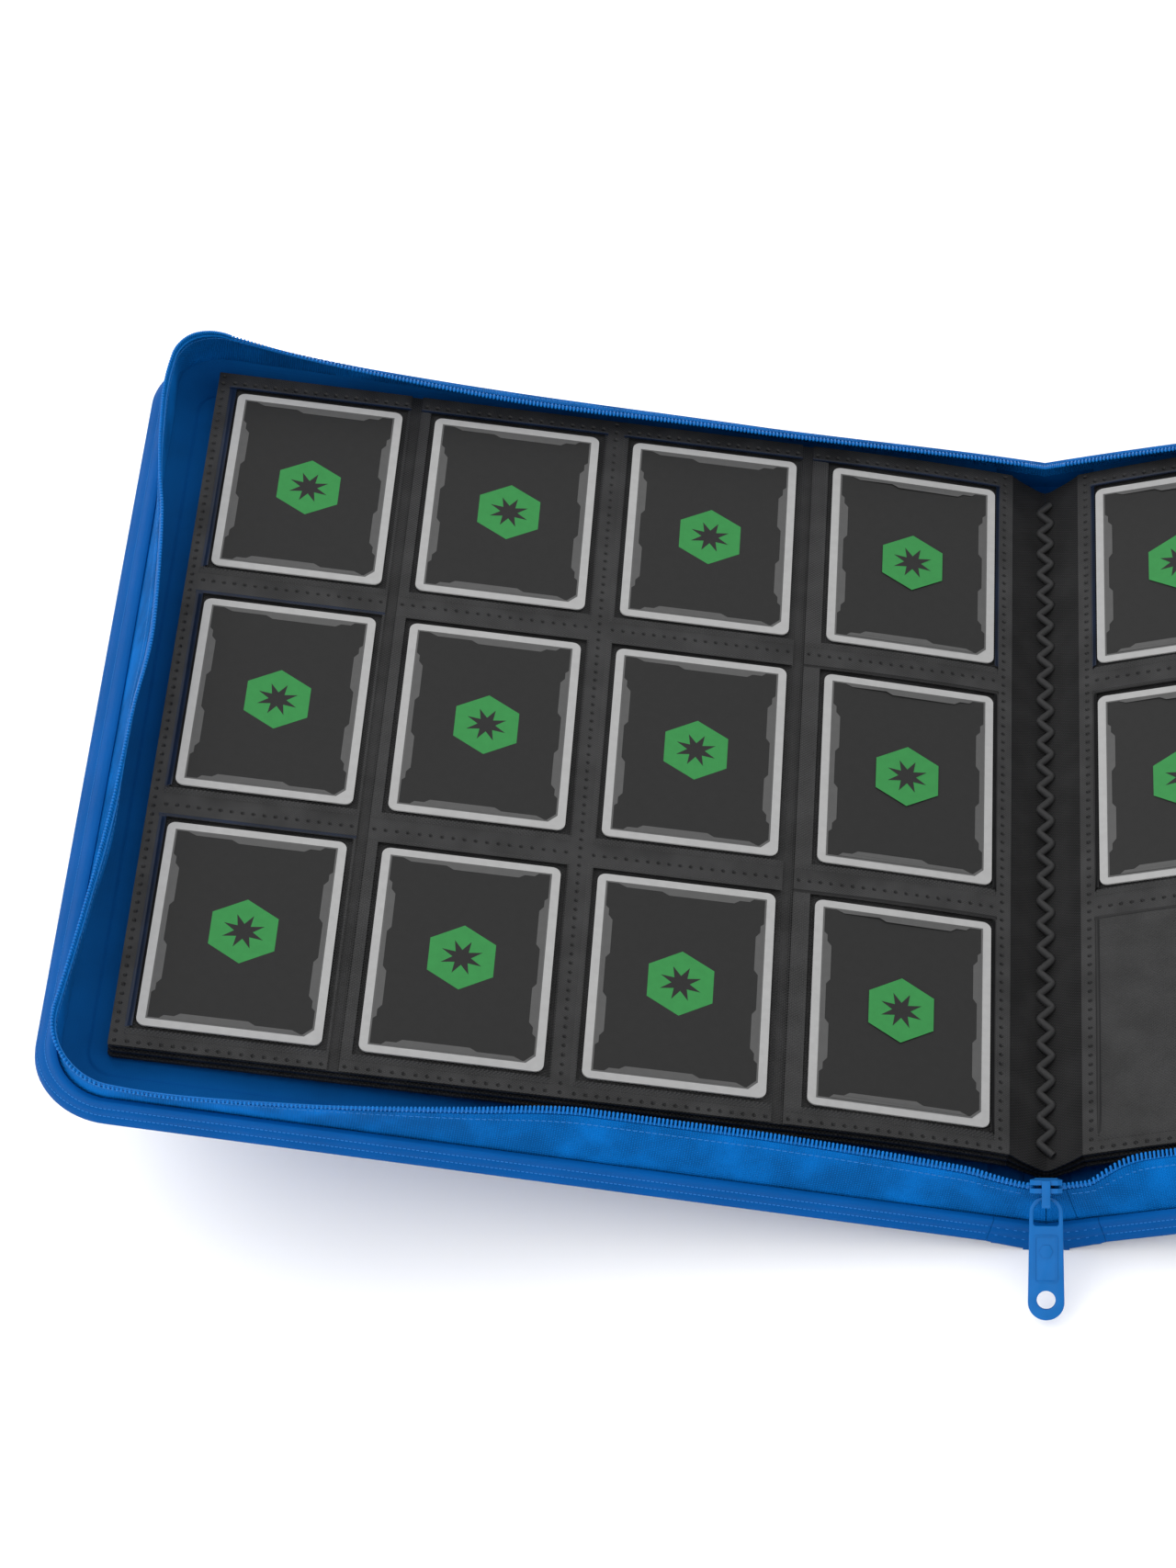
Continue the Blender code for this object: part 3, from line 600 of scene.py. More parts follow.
def make_tape_stitches(label, side, body):
    places, along, out = [], [], []
    stations = wall_path(TAPE_REACH, TAPE_STEP)
    for before, station, after in zip(stations, stations[1:], stations[2:]):
        place = tape_at(tape_line(label, station[4]), TAPE_SEAM)
        for face in (-1, 1):
            point = off_tape(place, face * (TAPE_THICKNESS / 2 - 0.02 * MM))
            places.append(wall_point(side, station, *point))
            along.append(np.subtract(wall_point(side, after, *point), wall_point(side, before, *point)))
            outside = off_tape(place, face * (TAPE_THICKNESS / 2 + 1 * MM))
            out.append(np.subtract(wall_point(side, station, *outside), places[-1]))
    made = bars(label + "_tape_stitches", places, along, out, *TAPE_STITCH, ["stitch"], body)
    return [made]


def tooth_places(line):
    """(inset, height) of a tooth's middle, of a point along the tooth and of a point out from it."""
    place = tape_at(line, COIL_LENGTH - 0.05 * MM)
    point = off_tape(place, 0.15 * MM)
    tip = (point[0] + math.sin(place[2]) * MM, point[1] + math.cos(place[2]) * MM)
    return point, tip, off_tape(place, 1.15 * MM)


def make_teeth(label, side, body):
    """The coil: a tooth for each turn, lying across the tape's edge, on a core cord along it."""
    places, along, out, core = [], [], [], []
    for station in wall_path(TAPE_REACH, TOOTH_PITCH):
        line = tape_line(label, station[4])
        point, tip, outside = tooth_places(line)
        places.append(wall_point(side, station, *point))
        along.append(np.subtract(wall_point(side, station, *tip), places[-1]))
        out.append(np.subtract(wall_point(side, station, *outside), places[-1]))
        back = tape_at(line, COIL_LENGTH - 1.3 * MM)
        ring = []
        for turn in (0, 1.05, 2.09, 3.14, 4.19, 5.24):
            up = CORD_RADIUS * math.sin(turn)
            middle = (back[0] + up * math.sin(back[2]), back[1] + up * math.cos(back[2]), back[2])
            away = 0.55 * MM + CORD_RADIUS * math.cos(turn)
            ring.append(wall_point(side, station, *off_tape(middle, away)))
        core.append(ring)
    teeth = bars(label + "_coil_teeth", places, along, out, *TOOTH, ["coil"], body)
    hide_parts(label + "_zip_coil")
    cord = loft(label + "_coil_core", core, ["coil"], body)
    return [teeth, cord]


def make_lining(label, side):
    """Lining cloth: a cove down from the tape's foot, a shallow groove, then a flat floor."""
    def section(share):
        top = eased(BAND_LEAN, share)
        start = top * 0.66 + BAND_THICKNESS + 1.25 * MM
        points = []
        for i in range(10):
            t = i / 9
            first, second, third = (1 - t) ** 2, 2 * t * (1 - t), t * t
            inset = first * start + second * (start + 1.4 * MM) + third * (COVE_REACH - 0.6 * MM)
            points.append((inset, first * 10.8 * MM + second * 4.0 * MM + third * 3.45 * MM))
        return points + [(COVE_REACH, 3.3 * MM), (COVE_REACH + 0.5 * MM, 3.45 * MM),
                         (COVE_REACH + 0.9 * MM, 3.8 * MM), (COVE_REACH + 1.5 * MM, FLOOR_HEIGHT)]

    stations = wall_path(CREASE_REACH + 0.3 * MM, 3.0 * MM)
    rings = np.array(wall_rings(side, stations, section))
    count, size = rings.shape[:2]
    faces = loft_faces(count, size, closed=False)
    edge = [i * size + size - 1 for i in range(count)]
    half = count // 2
    for i in range(half):
        faces.append((edge[i], edge[i + 1], edge[count - 2 - i], edge[count - 1 - i])
                     if count - 2 - i > i + 1 else (edge[i], edge[i + 1], edge[count - 1 - i]))
        if count - 2 - i <= i + 2:
            break
    made = piece(label + "_lining_cloth", rings.reshape(-1, 3), faces, ["lining"])
    tidy_normals(made)
    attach(made, label + "_cover")
    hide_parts(label + "_cover_lining")


def rounded_outline(low, high, radius, corners=(True, True, True, True), steps=8):
    (x0, y0), (x1, y1) = low, high
    places = ((x0, y0, 1, 1, 180), (x1, y0, -1, 1, 270), (x1, y1, -1, -1, 0), (x0, y1, 1, -1, 90))
    points = []
    for (x, y, inward_x, inward_y, start), is_round in zip(places, corners):
        if is_round:
            for i in range(steps + 1):
                turn = math.radians(start + 90 * i / steps)
                points.append((x + inward_x * radius + radius * math.cos(turn),
                               y + inward_y * radius + radius * math.sin(turn)))
        else:
            points.append((x, y))
    return points


def slab(name, outline, bottom, top, to_world, looks, body, bevel=0.0, cuts=(), holes=()):
    """A flat piece with softened edges: outline in two directions, placed by to_world(x, y, height)."""
    curve = bpy.data.curves.new(name, "CURVE")
    curve.dimensions, curve.fill_mode = "2D", "BOTH"
    curve.extrude = (top - bottom) / 2 - bevel
    curve.bevel_depth, curve.bevel_resolution = bevel, 2
    curve.offset = -bevel
    for points in (outline, *holes):
        spline = curve.splines.new("POLY")
        spline.points.add(len(points) - 1)
        for point, (x, y) in zip(spline.points, points):
            point.co = (x, y, 0, 1)
        spline.use_cyclic_u = True
    shape = bpy.data.objects.new(name, curve)
    bpy.context.scene.collection.objects.link(shape)
    bpy.context.view_layer.update()
    mesh = bpy.data.meshes.new_from_object(shape.evaluated_get(bpy.context.evaluated_depsgraph_get()))
    bpy.data.objects.remove(shape)
    bm = bmesh.new()
    bm.from_mesh(mesh)
    bmesh.ops.remove_doubles(bm, verts=bm.verts, dist=1e-6)
    for x in cuts:
        bmesh.ops.bisect_plane(bm, geom=bm.verts[:] + bm.edges[:] + bm.faces[:], dist=1e-6,
                               plane_co=(x, 0, 0), plane_no=(1, 0, 0))
    for vert in bm.verts:
        vert.co = to_world(vert.co.x, vert.co.y, vert.co.z + (top + bottom) / 2)
    bmesh.ops.recalc_face_normals(bm, faces=bm.faces)
    bm.to_mesh(mesh)
    bm.free()
    mesh.name = name
    mesh.materials.clear()
    for look in looks:
        mesh.materials.append(LOOKS[look])
    mesh.shade_smooth()
    mesh.set_sharp_from_angle(angle=math.radians(35))
    obj = bpy.data.objects.new(name, mesh)
    bpy.context.scene.collection.objects.link(obj)
    if body:
        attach(obj, body)
    return obj


def make_board(label, side):
    """The stiff cover, with softly turned edges that show as a welt under the band."""
    inset = 1.5 * MM
    outline = rounded_outline((CREASE_REACH, -CASE_HALF_LENGTH + inset),
                              (CASE_REACH - inset, CASE_HALF_LENGTH - inset), CORNER_RADIUS - inset,
                              (False, True, True, False))
    board = slab(label + "_cover_skin", outline, 0, BOARD_THICKNESS, partial(cover_point, side), ["cover"],
                 label + "_cover", bevel=0.8 * MM)
    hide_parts(label + "_cover_board")


# ---------------------------------------------------------------- the spine


def soften(node, look, width):
    """A CAD node shown as it is, with rounded edges and a better material."""
    obj = CAD[node]
    obj.data.materials.clear()
    obj.data.materials.append(LOOKS[look])
    bevel = obj.modifiers.new("edges", "BEVEL")
    bevel.width, bevel.segments, bevel.limit_method = width, 3, "ANGLE"
    bevel.angle_limit = math.radians(35)


def make_spine():
    soften("spine_strip", "cover", 0.5 * MM)
    soften("binding_strip", "web", 0.3 * MM)
    for label, _side in SIDES:
        soften(label + "_spine_panel", "cover", 0.35 * MM)


def valley_point(side, t, height, reach=20.85 * MM):
    """(x, z) of the wall across the spine: t goes from 0 at the middle to 1 where a cover's wall starts."""
    middle = (VALLEY_OVERLAP + height * math.sin(COVER_TILT)) / math.cos(COVER_TILT)
    inner, outer = cover_point(1, middle, 0, height), cover_point(1, reach, 0, height)
    x, z = (inner[i] + (outer[i] - inner[i]) * t for i in (0, 2))
    return side * x, z


def gusset_point(side, t, height):
    """As valley_point, but the lower edge stays down with the flat spine and then sweeps up."""
    x, z = valley_point(side, t, height)
    foot_x, foot_z = valley_point(side, t, 0)
    end_x, end_z = valley_point(1, 1, 0)
    flat = 6 * MM
    swept = end_z * (max(0.0, abs(foot_x) - flat) / (end_x - flat)) ** 1.3 + 0.02 * MM
    return x, z + (swept - foot_z) * (1 - height / BAND_HEIGHT)


def make_pleats():
    """The band's pleats across the spine: puffed and stitched like the band, in a shallow V."""
    for label, side in SIDES:
        for end, way in (("front", -1), ("rear", 1)):
            section = band_section(0.0 if way < 0 else 1.0)
            face = way * (CASE_HALF_LENGTH + 0.05 * MM)
            rings = []
            for t in np.linspace(0, 1, 15):
                ring = []
                for inset, height in section:
                    x, z = gusset_point(side, t, height)
                    ring.append((x, face - way * inset, z))
                rings.append(ring)
            made = loft(f"{label}_{end}_gusset", rings, ["cover"], label + "_spine_panel")
            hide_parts(f"{label}_{end}_pleat")
            places, along = [], []
            for height in STITCH_HEIGHTS:
                for i in range(6):
                    t = (i + 0.6) / 6.4
                    inset = band_face(0.0, height) - 0.02 * MM
                    (x, z), (after_x, after_z) = (gusset_point(side, at, height) for at in (t, t + 0.01))
                    places.append((x, face - way * inset, z))
                    along.append((after_x - x, 0, after_z - z))
            out = [(0, way, 0)] * len(places)
            stitches = bars(f"{label}_{end}_gusset_stitches", places, along, out, *BAND_STITCH, ["stitch"],
                            label + "_spine_panel")


def make_tape_ends():
    """The last of each tape, from the cover's crease to the spine's middle, with its share of the coil."""
    for label, side in SIDES:
        for end, way, share in (("front", -1, 0.0), ("rear", 1, 1.0)):
            face = way * CASE_HALF_LENGTH
            rings = [[(x, face - way * inset, z) for inset, height in tape_section(label, share)
                      for x, z in [valley_point(side, t, height, TAPE_REACH + 0.2 * MM)]]
                     for t in np.linspace(0, 1, 9)]
            cloth = loft(f"{label}_{end}_tape_end", rings, ["tape"], label + "_spine_panel")
            tooth = tooth_places(tape_line(label, share))
            places, along, out = [], [], []
            for i in range(5 if way < 0 else 9):
                t = 1 - (i + 0.9) / 9.5
                spots = [(x, face - way * inset, z) for inset, height in tooth
                         for x, z in [valley_point(side, t, height, TAPE_REACH + 0.2 * MM)]]
                places.append(spots[0])
                along.append(np.subtract(spots[1], spots[0]))
                out.append(np.subtract(spots[2], spots[0]))
            teeth = bars(f"{label}_{end}_end_teeth", places, along, out, *TOOTH, ["coil"],
                         label + "_spine_panel")


def make_hinge_linings():
    """Lining cloth over the creases: from the spine to its panels, and from each panel up on to its cover."""
    half = CASE_HALF_LENGTH - BAND_THICKNESS - 0.3 * MM
    for label, side in SIDES:
        low = SPINE_THICKNESS + 0.15 * MM
        near = [(4 * MM, low), (7.4 * MM, low + 0.1 * MM)]
        far = [(9.2 * MM, 1.45 * MM), (10.5 * MM, 1.4 * MM), (12 * MM, 1.4 * MM)]
        ridge = near + [cover_point(1, r, 0, h)[::2] for r, h in far]
        hinge = [(11.5 * MM, 1.45 * MM), (17 * MM, 1.5 * MM), (19 * MM, 1.7 * MM), (20.4 * MM, 2.8 * MM),
                 (21.4 * MM, 3.85 * MM), (23 * MM, 4.0 * MM)]
        rise = [cover_point(1, r, 0, h)[::2] for r, h in hinge]
        for name, line, a, b, start, end in (
            ("spine_lining", ridge, "spine", label + "_spine_panel", 6.5 * MM, 9.5 * MM),
            ("crease_lining", rise, label + "_spine_panel", label + "_cover", 17.5 * MM, 20.5 * MM),
        ):
            section = line + [(x, z - 0.35 * MM) for x, z in line[::-1]]
            rings = [[(side * x, y, z) for x, z in section] for y in np.linspace(-half, half, 25)]
            made = loft(f"{label}_{name}", rings, ["lining"])
            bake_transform(made)


def fold_height(x, reach, low, high):
    """Height of a sheet's folded back: a narrow valley at the seam, then nearly straight up to the leaf."""
    share = abs(x) / reach
    return low + (high - low) * (0.35 * share**2 + 0.65 * share) * float(smoothstep(0.35 + share * 1.6))


def fold_rim(number):
    """Where a sheet's fold meets its leaf: (x, height)."""
    top = SHEET_TOP - LEAF_PITCH * number - CURL[0][1]
    sin, cos = math.sin(PAGE_TILT), math.cos(PAGE_TILT)
    return LEAF_INNER * cos - top * sin, PAGE_PLANE_HEIGHT + LEAF_INNER * sin + top * cos


def make_webs():
    """The folded backs of the sheets: flat over the seam, then up to the leaves, in two halves."""
    for number, low in enumerate(FOLD_HEIGHTS):
        reach, high = fold_rim(number)
        for label, side in SIDES:
            upper = [(x, fold_height(x, reach, low, high)) for x in np.linspace(0.02 * MM, reach, 19)]
            section = upper + [(x, z - 0.9 * MM) for x, z in upper[::-1]]
            ys = np.linspace(LEAF_FRONT + 0.2 * MM, LEAF_REAR - 0.2 * MM, 41)
            rings = [[(side * x, y, z) for x, z in section] for y in ys]
            made = loft(f"{label}_web_{number + 1}", rings, ["web"])
            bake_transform(made)
            if side == LEFT:
                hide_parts(f"sheet_{number + 1}_fold")


def make_seam():
    """Thick black cord, sewn in a zigzag: two slanting strands to each pitch."""
    count = int((LEAF_REAR - LEAF_FRONT - SEAM_PITCH) / (SEAM_PITCH / 2))
    reach, high = fold_rim(0)
    corners = [(THREAD_SWING * (-1) ** i, LEAF_FRONT + SEAM_PITCH / 2 * (i + 1)) for i in range(count + 1)]
    path = []
    for (x0, y0), (x1, y1) in zip(corners, corners[1:]):
        for t in np.linspace(0, 1, 8, endpoint=False):
            dip = 0.6 * MM * (1 - math.sin(math.pi * t)) ** 3
            x = x0 + (x1 - x0) * t
            height = max(fold_height(x, reach, FOLD_HEIGHTS[0], high), FOLD_HEIGHTS[0] + 0.55 * MM)
            path.append((x, y0 + (y1 - y0) * t, height + 0.75 * THREAD_RADIUS - dip))
    path = np.array(path)
    path[1:-1] = (path[:-2] + 2 * path[1:-1] + path[2:]) / 4
    forward = unit(np.gradient(path, axis=0))
    sideways = unit(np.cross(forward, (0, 0, 1)))
    up = np.cross(sideways, forward)
    turns = np.linspace(0, 2 * math.pi, 10, endpoint=False)
    rings = path[:, None] + THREAD_RADIUS * (sideways[:, None] * np.cos(turns)[None, :, None]
                                             + up[:, None] * np.sin(turns)[None, :, None])
    seam = loft("spine_seam_cord", rings, ["thread"], "spine", angle=80)
    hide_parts("seam_thread")


# ---------------------------------------------------------------- leaves, films and cards


def curl(x):
    """How far a leaf has curled down at a reach."""
    return float(np.interp(x, [p[0] for p in CURL], [p[1] for p in CURL]))


def leaf_point(side, reach, y, above):
    above -= curl(reach)
    sin, cos = math.sin(PAGE_TILT), math.cos(PAGE_TILT)
    return (side * (reach * cos - above * sin), y, PAGE_PLANE_HEIGHT + reach * sin + above * cos)


CURL_CUTS = [place[0] for place in CURL] + [15 * MM, 22 * MM, 30 * MM, 42 * MM, 54 * MM]


def make_leaf_sheets(label, side):
    for number in range(3):
        top = SHEET_TOP - LEAF_PITCH * number
        bottom = top - SHEET_THICKNESS
        if number == 0:
            top = WELD_LEVEL - 0.62 * MM
        outline = rounded_outline((LEAF_INNER, LEAF_FRONT), (LEAF_OUTER, LEAF_REAR), 2 * MM,
                                  (False, True, True, False), 4)
        sheet = slab(f"{label}_page_{number + 1}", outline, bottom, top, partial(leaf_point, side), ["sheet"],
                     f"{label}_leaf_{number + 1}", bevel=0.2 * MM, cuts=CURL_CUTS)
        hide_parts(f"{label}_leaf_{number + 1}_sheet")


def weld_bars():
    """The low and high y of each weld across a leaf, from the front."""
    edges = [LEAF_FRONT]
    for y in ROW_CENTRES[::-1]:
        edges += [y - POCKET_LENGTH / 2, y + POCKET_LENGTH / 2]
    edges.append(LEAF_REAR)
    return list(zip(edges[::2], edges[1::2]))


class Patchwork:
    """Vertices, faces and material slots of a film, gathered patch by patch in leaf coordinates."""

    def __init__(self):
        self.verts, self.faces, self.slots = [], [], []

    def add(self, points, faces, slot):
        first = len(self.verts)
        self.verts += points
        self.faces += [tuple(first + v for v in face) for face in faces]
        self.slots += slot if isinstance(slot, list) else [slot] * len(faces)

    def grid(self, xs, ys, height, slot):
        points = [(x, y, height(x, y)) for y in ys for x in xs]
        wide = len(xs)
        faces, slots = [], []
        for j in range(len(ys) - 1):
            for i in range(wide - 1):
                faces.append((j * wide + i, j * wide + i + 1, (j + 1) * wide + i + 1, (j + 1) * wide + i))
                slots.append(slot((xs[i] + xs[i + 1]) / 2, (ys[j] + ys[j + 1]) / 2))
        self.add(points, faces, slots)


# The channel slots are painted light: shade in the channels and dimples, and blue light in the channels next
# to the case's walls.
FILM_LOOKS = ["film", "sleeve", "weld", "channel", "painted_blue_cast"]
CLEAR, SLEEVE, WELD, PAINTED_SHADE_HOLLOW, PAINTED_BLUE_CAST = range(5)


def dimple_cell(patch, low, high, centre):
    """A rectangle of weld with one round dimple pressed into it."""
    (x0, y0), (x1, y1) = low, high
    corners = [(x0, y0), ((x0 + x1) / 2, y0), (x1, y0), (x1, (y0 + y1) / 2), (x1, y1), ((x0 + x1) / 2, y1),
               (x0, y1), (x0, (y0 + y1) / 2)]
    points = [(x, y, WELD_LEVEL) for x, y in corners]
    for radius, depth in ((1.35, -0.10), (1.0, -0.02), (0.8, 0.3), (0.45, 0.5)):
        for i in range(8):
            turn = math.radians(225 + 45 * i)
            points.append((centre[0] + DIMPLE_RADIUS * radius * math.cos(turn),
                           centre[1] + DIMPLE_RADIUS * radius * math.sin(turn), WELD_LEVEL - depth * MM))
    points.append((*centre, WELD_LEVEL - 0.52 * MM))
    faces = []
    for ring in range(4):
        for i in range(8):
            j = (i + 1) % 8
            faces.append((ring * 8 + i, ring * 8 + j, ring * 8 + 8 + j, ring * 8 + 8 + i))
    faces += [(32 + i, 32 + (i + 1) % 8, 40) for i in range(8)]
    # The dimple's inner rings take the channel slot: painted shade in the hollow.
    patch.add(points, faces, [WELD] * 24 + [PAINTED_SHADE_HOLLOW] * 16)


def dimple_row(patch, start, end, low, high, middle, lengthwise):
    """Cells side by side from start to end. low, high and middle are across the row."""
    count = max(1, round((end - start) / DIMPLE_PITCH))
    for i in range(count):
        a, b = (start + (end - start) * k / count for k in (i, i + 1))
        if lengthwise:
            dimple_cell(patch, (low, a), (high, b), (middle, (a + b) / 2))
        else:
            dimple_cell(patch, (a, low), (b, high), ((a + b) / 2, middle))


def lines(low, high, places, step):
    """Sorted grid lines from low to high: the places within it, and more so that no gap passes step."""
    marks = sorted({low, high, *[p for p in places if low + 0.1 * MM < p < high - 0.1 * MM]})
    found = []
    for a, b in zip(marks, marks[1:]):
        count = max(1, math.ceil((b - a) / step))
        found += [a + (b - a) * i / count for i in range(count)]
    return found + [high]


def make_pocket(patch, low_x, high_x, low_y, high_y, column, row, filled, weld_side):
    """The film over one pocket: taut over the card, sinking to its welds, with a channel inside each weld."""
    centre_x, centre_y = CARD_CENTRES[column], ROW_CENTRES[row]
    half_x, half_y = 33.4 * MM, 45.9 * MM
    channel_wide, channel_thin = (3.2 if column == 0 else 2.0) * MM, 1.7 * MM
    weld_x = low_x if weld_side < 0 else high_x
    has_channel = column in (0, 3)
    top_channel = has_channel or row == 0
    marks_x, marks_y = [], []
    for sign in (-1, 1):
        for off in (-0.9, -0.5, 0, 0.5, 1.2, 2.2):
            marks_x.append(centre_x + sign * (half_x + off * MM))
            marks_y.append(centre_y + sign * (half_y + off * MM))
    for share in (0.1, 0.25, 0.5, 0.75, 0.9, 1.0):
        marks_x.append(weld_x - weld_side * share * channel_wide)
    for off in (0.3, 0.8, 1.3, 1.7):
        marks_y.append(high_y - off * MM)

    def depth_beyond(x, y):
        beyond = max(abs(x - centre_x) - half_x, abs(y - centre_y) - half_y)
        return beyond / MM

    def channel(x, y):
        """0 outside the channel, 1 in its middle."""
        value = 0.0
        if has_channel and low_y + 3 * MM < y < high_y:
            from_weld = abs(weld_x - x)
            value = max(0.0, 1 - abs(from_weld - channel_wide / 2) / (channel_wide / 2))
        if top_channel:
            value = max(value, 1 - abs(high_y - y - channel_thin / 2) / (channel_thin / 2))
        return value

    def height(x, y):
        beyond = depth_beyond(x, y)
        level = 0.28 if filled else -0.35
        if filled:
            level -= 0.62 * float(smoothstep(beyond / 1.2 + 0.4))
            level += 0.05 * math.cos((x - centre_x) / MM / 9) * math.cos((y - centre_y) / MM / 13)
        else:
            level += 0.12 * math.sin((x - centre_x) / MM / 11 + 0.8) * math.cos((y - centre_y) / MM / 15)
        edge = min(y - low_y, high_y - y, abs(weld_x - x))
        level += (WELD_LEVEL / MM + 0.05 - level) * (1 - float(smoothstep(edge / (1.6 * MM))))
        level -= 0.35 * float(smoothstep(channel(x, y) * 1.6))
        return level * MM

    def slot(x, y):
        # Channels are painted shade, darker than the sheet.
        if channel(x, y) > 0.12:
            # painted blue light in the channels next to the case's walls: the outer column and the rear row
            return PAINTED_BLUE_CAST if column == 0 or row == 0 else PAINTED_SHADE_HOLLOW
        return SLEEVE if filled and depth_beyond(x, y) < 0 else CLEAR

    patch.grid(lines(low_x, high_x, marks_x, 4.5 * MM), lines(low_y, high_y, marks_y, 4.5 * MM), height, slot)


def make_film(label, side, part, filled_rows):
    """One clear film: pockets row by row, and embossed welds along it and across it."""
    low_x, high_x, weld_low, weld_high, dots_x, columns = FILMS[part]
    patch = Patchwork()
    dimple_row(patch, LEAF_FRONT, LEAF_REAR, weld_low, weld_high, dots_x, True)
    spans = []
    if weld_low > low_x:
        spans.append((low_x, weld_low, columns[-1], 1))
    if weld_high < high_x:
        spans.append((weld_high, high_x, columns[0], -1))
    dots = (LEAF_FRONT + 2.05 * MM, -48.85 * MM, 57.15 * MM, 158.15 * MM)
    bars_across = weld_bars()
    for start, end, column, weld_side in spans:
        for (low, high), middle in zip(bars_across, dots):
            dimple_row(patch, start, end, low, high, middle, False)
        for row in range(3):
            low = ROW_CENTRES[row] - POCKET_LENGTH / 2
            high = ROW_CENTRES[row] + POCKET_LENGTH / 2
            make_pocket(patch, start, end, low, high, column, row, row < filled_rows, weld_side)
    verts = [leaf_point(side, x, y, h) for x, y, h in patch.verts]
    film = piece(f"{label}_{part}_pocket_film", verts, patch.faces, FILM_LOOKS, slots=patch.slots, angle=50)
    bm = bmesh.new()
    bm.from_mesh(film.data)
    bmesh.ops.remove_doubles(bm, verts=bm.verts, dist=2e-6)
    bmesh.ops.recalc_face_normals(bm, faces=bm.faces)
    if sum(face.normal.z for face in bm.faces) < 0:
        bmesh.ops.reverse_faces(bm, faces=bm.faces)
    bm.to_mesh(film.data)
    bm.free()
    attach(film, label + "_leaf_1")
    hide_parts(f"{label}_{part}_film")


def card_layers():
    """Outlines from the card's middle in millimetres, bottom layer first: (look, outline, top)."""
    w, l = CARD_WIDTH / MM / 2, CARD_LENGTH / MM / 2
    layers = [("frame", rounded_outline((-w, -l), (w, l), 3, steps=6), 0.0)]
    inner = (w - 3.0, l - 3.0)
    cut = 3.2
    outline = [(-inner[0], -inner[1]), (inner[0] - cut, -inner[1]), (inner[0], -inner[1] + cut),
               (inner[0], inner[1]), (-inner[0], inner[1])]
    layers.append(("line", outline, 0.03))
    x, y = inner[0] - 0.6, inner[1] - 0.6
    outline = [(-x, -y), (x - cut, -y), (x, -y + cut), (x, y), (-x, y)]
    layers.append(("face", outline, 0.06))
    half = [(0, 30), (1.2, 28.8), (1.2, 26), (2.7, 24), (2.7, 9.5), (1.3, 7.5)]
    notches = half + [(deep, -at) for deep, at in half[::-1]]
    ends = [(-24, 0), (-22.5, 1.4), (-19, 1.4), (-17, 2.8), (6, 2.8), (8.5, 1.4), (21, 1.4), (24, 0)]
    for way in (-1, 1):
        layers.append(("accent", [(way * (x - deep), at) for deep, at in notches], 0.09))
        layers.append(("accent", [(-way * at, way * (y - deep)) for at, deep in ends], 0.09))
    return layers


def emblem_layers():
    """A plain six-sided badge with an eight-pointed star in it."""
    badge = [(13.2 * math.sin(math.radians(60 * i)), 13.8 * math.cos(math.radians(60 * i))) for i in range(6)]
    star = []
    for i in range(16):
        radius = 7.6 if i % 2 == 0 else 3.2
        turn = math.radians(22.5 * i + 22.5)
        star.append((radius * math.cos(turn), radius * math.sin(turn)))
    return [("emblem", badge, 0.09), ("face", star, 0.12)]


def make_card(label, side, column, row):
    """A card of printed layers, each a hair above the last."""
    centre_x, centre_y = CARD_CENTRES[column], ROW_CENTRES[row]
    bm = bmesh.new()
    looks = ["frame", "line", "face", "accent", "emblem"]
    for look, outline, top in card_layers() + emblem_layers():
        low = -CARD_THICKNESS / MM if look == "frame" else top - PRINT_STEP
        count = len(outline)
        rings = []
        for h in (low, top):
            # The print reads upright on both halves, so a layer keeps its own left and right.
            rings.append([bm.verts.new(leaf_point(side, centre_x + side * x * MM, centre_y + y * MM, h * MM))
                          for x, y in outline])
        faces = [bm.faces.new(rings[1])]
        for i in range(count):
            j = (i + 1) % count
            faces.append(bm.faces.new((rings[0][i], rings[0][j], rings[1][j], rings[1][i])))
        if look == "frame":
            faces.append(bm.faces.new(rings[0][::-1]))
        for face in faces:
            face.material_index = looks.index(look)
    bmesh.ops.recalc_face_normals(bm, faces=bm.faces)
    name = f"{label}_card_{row + 1}_{column + 1}"
    mesh = bpy.data.meshes.new(name + "_print")
    bm.to_mesh(mesh)
    bm.free()
    for look in looks:
        mesh.materials.append(LOOKS[look])
    obj = bpy.data.objects.new(name + "_print", mesh)
    bpy.context.scene.collection.objects.link(obj)
    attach(obj, label + "_leaf_1")
    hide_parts(name)


# ---------------------------------------------------------------- slider and tab


def tab_point(x, y, z):
    """The tab's own axes: x across, y up along it from the ring's axis, z out of its face."""
    sin, cos = math.sin(TAB_SLOPE), math.cos(TAB_SLOPE)
    return (TAB_AXIS.x + x, TAB_AXIS.y + y * cos - z * sin, TAB_AXIS.z + y * sin + z * cos)


def slider_point(along, out, across):
    """The slider's own axes: along it from the nose (-) to the tail, out of its plates, across."""
    sin, cos = math.sin(SLIDER_TILT), math.cos(SLIDER_TILT)
    return (SLIDER_SEAT.x + across, SLIDER_SEAT.y + along * cos - out * sin,
            SLIDER_SEAT.z + along * sin + out * cos)


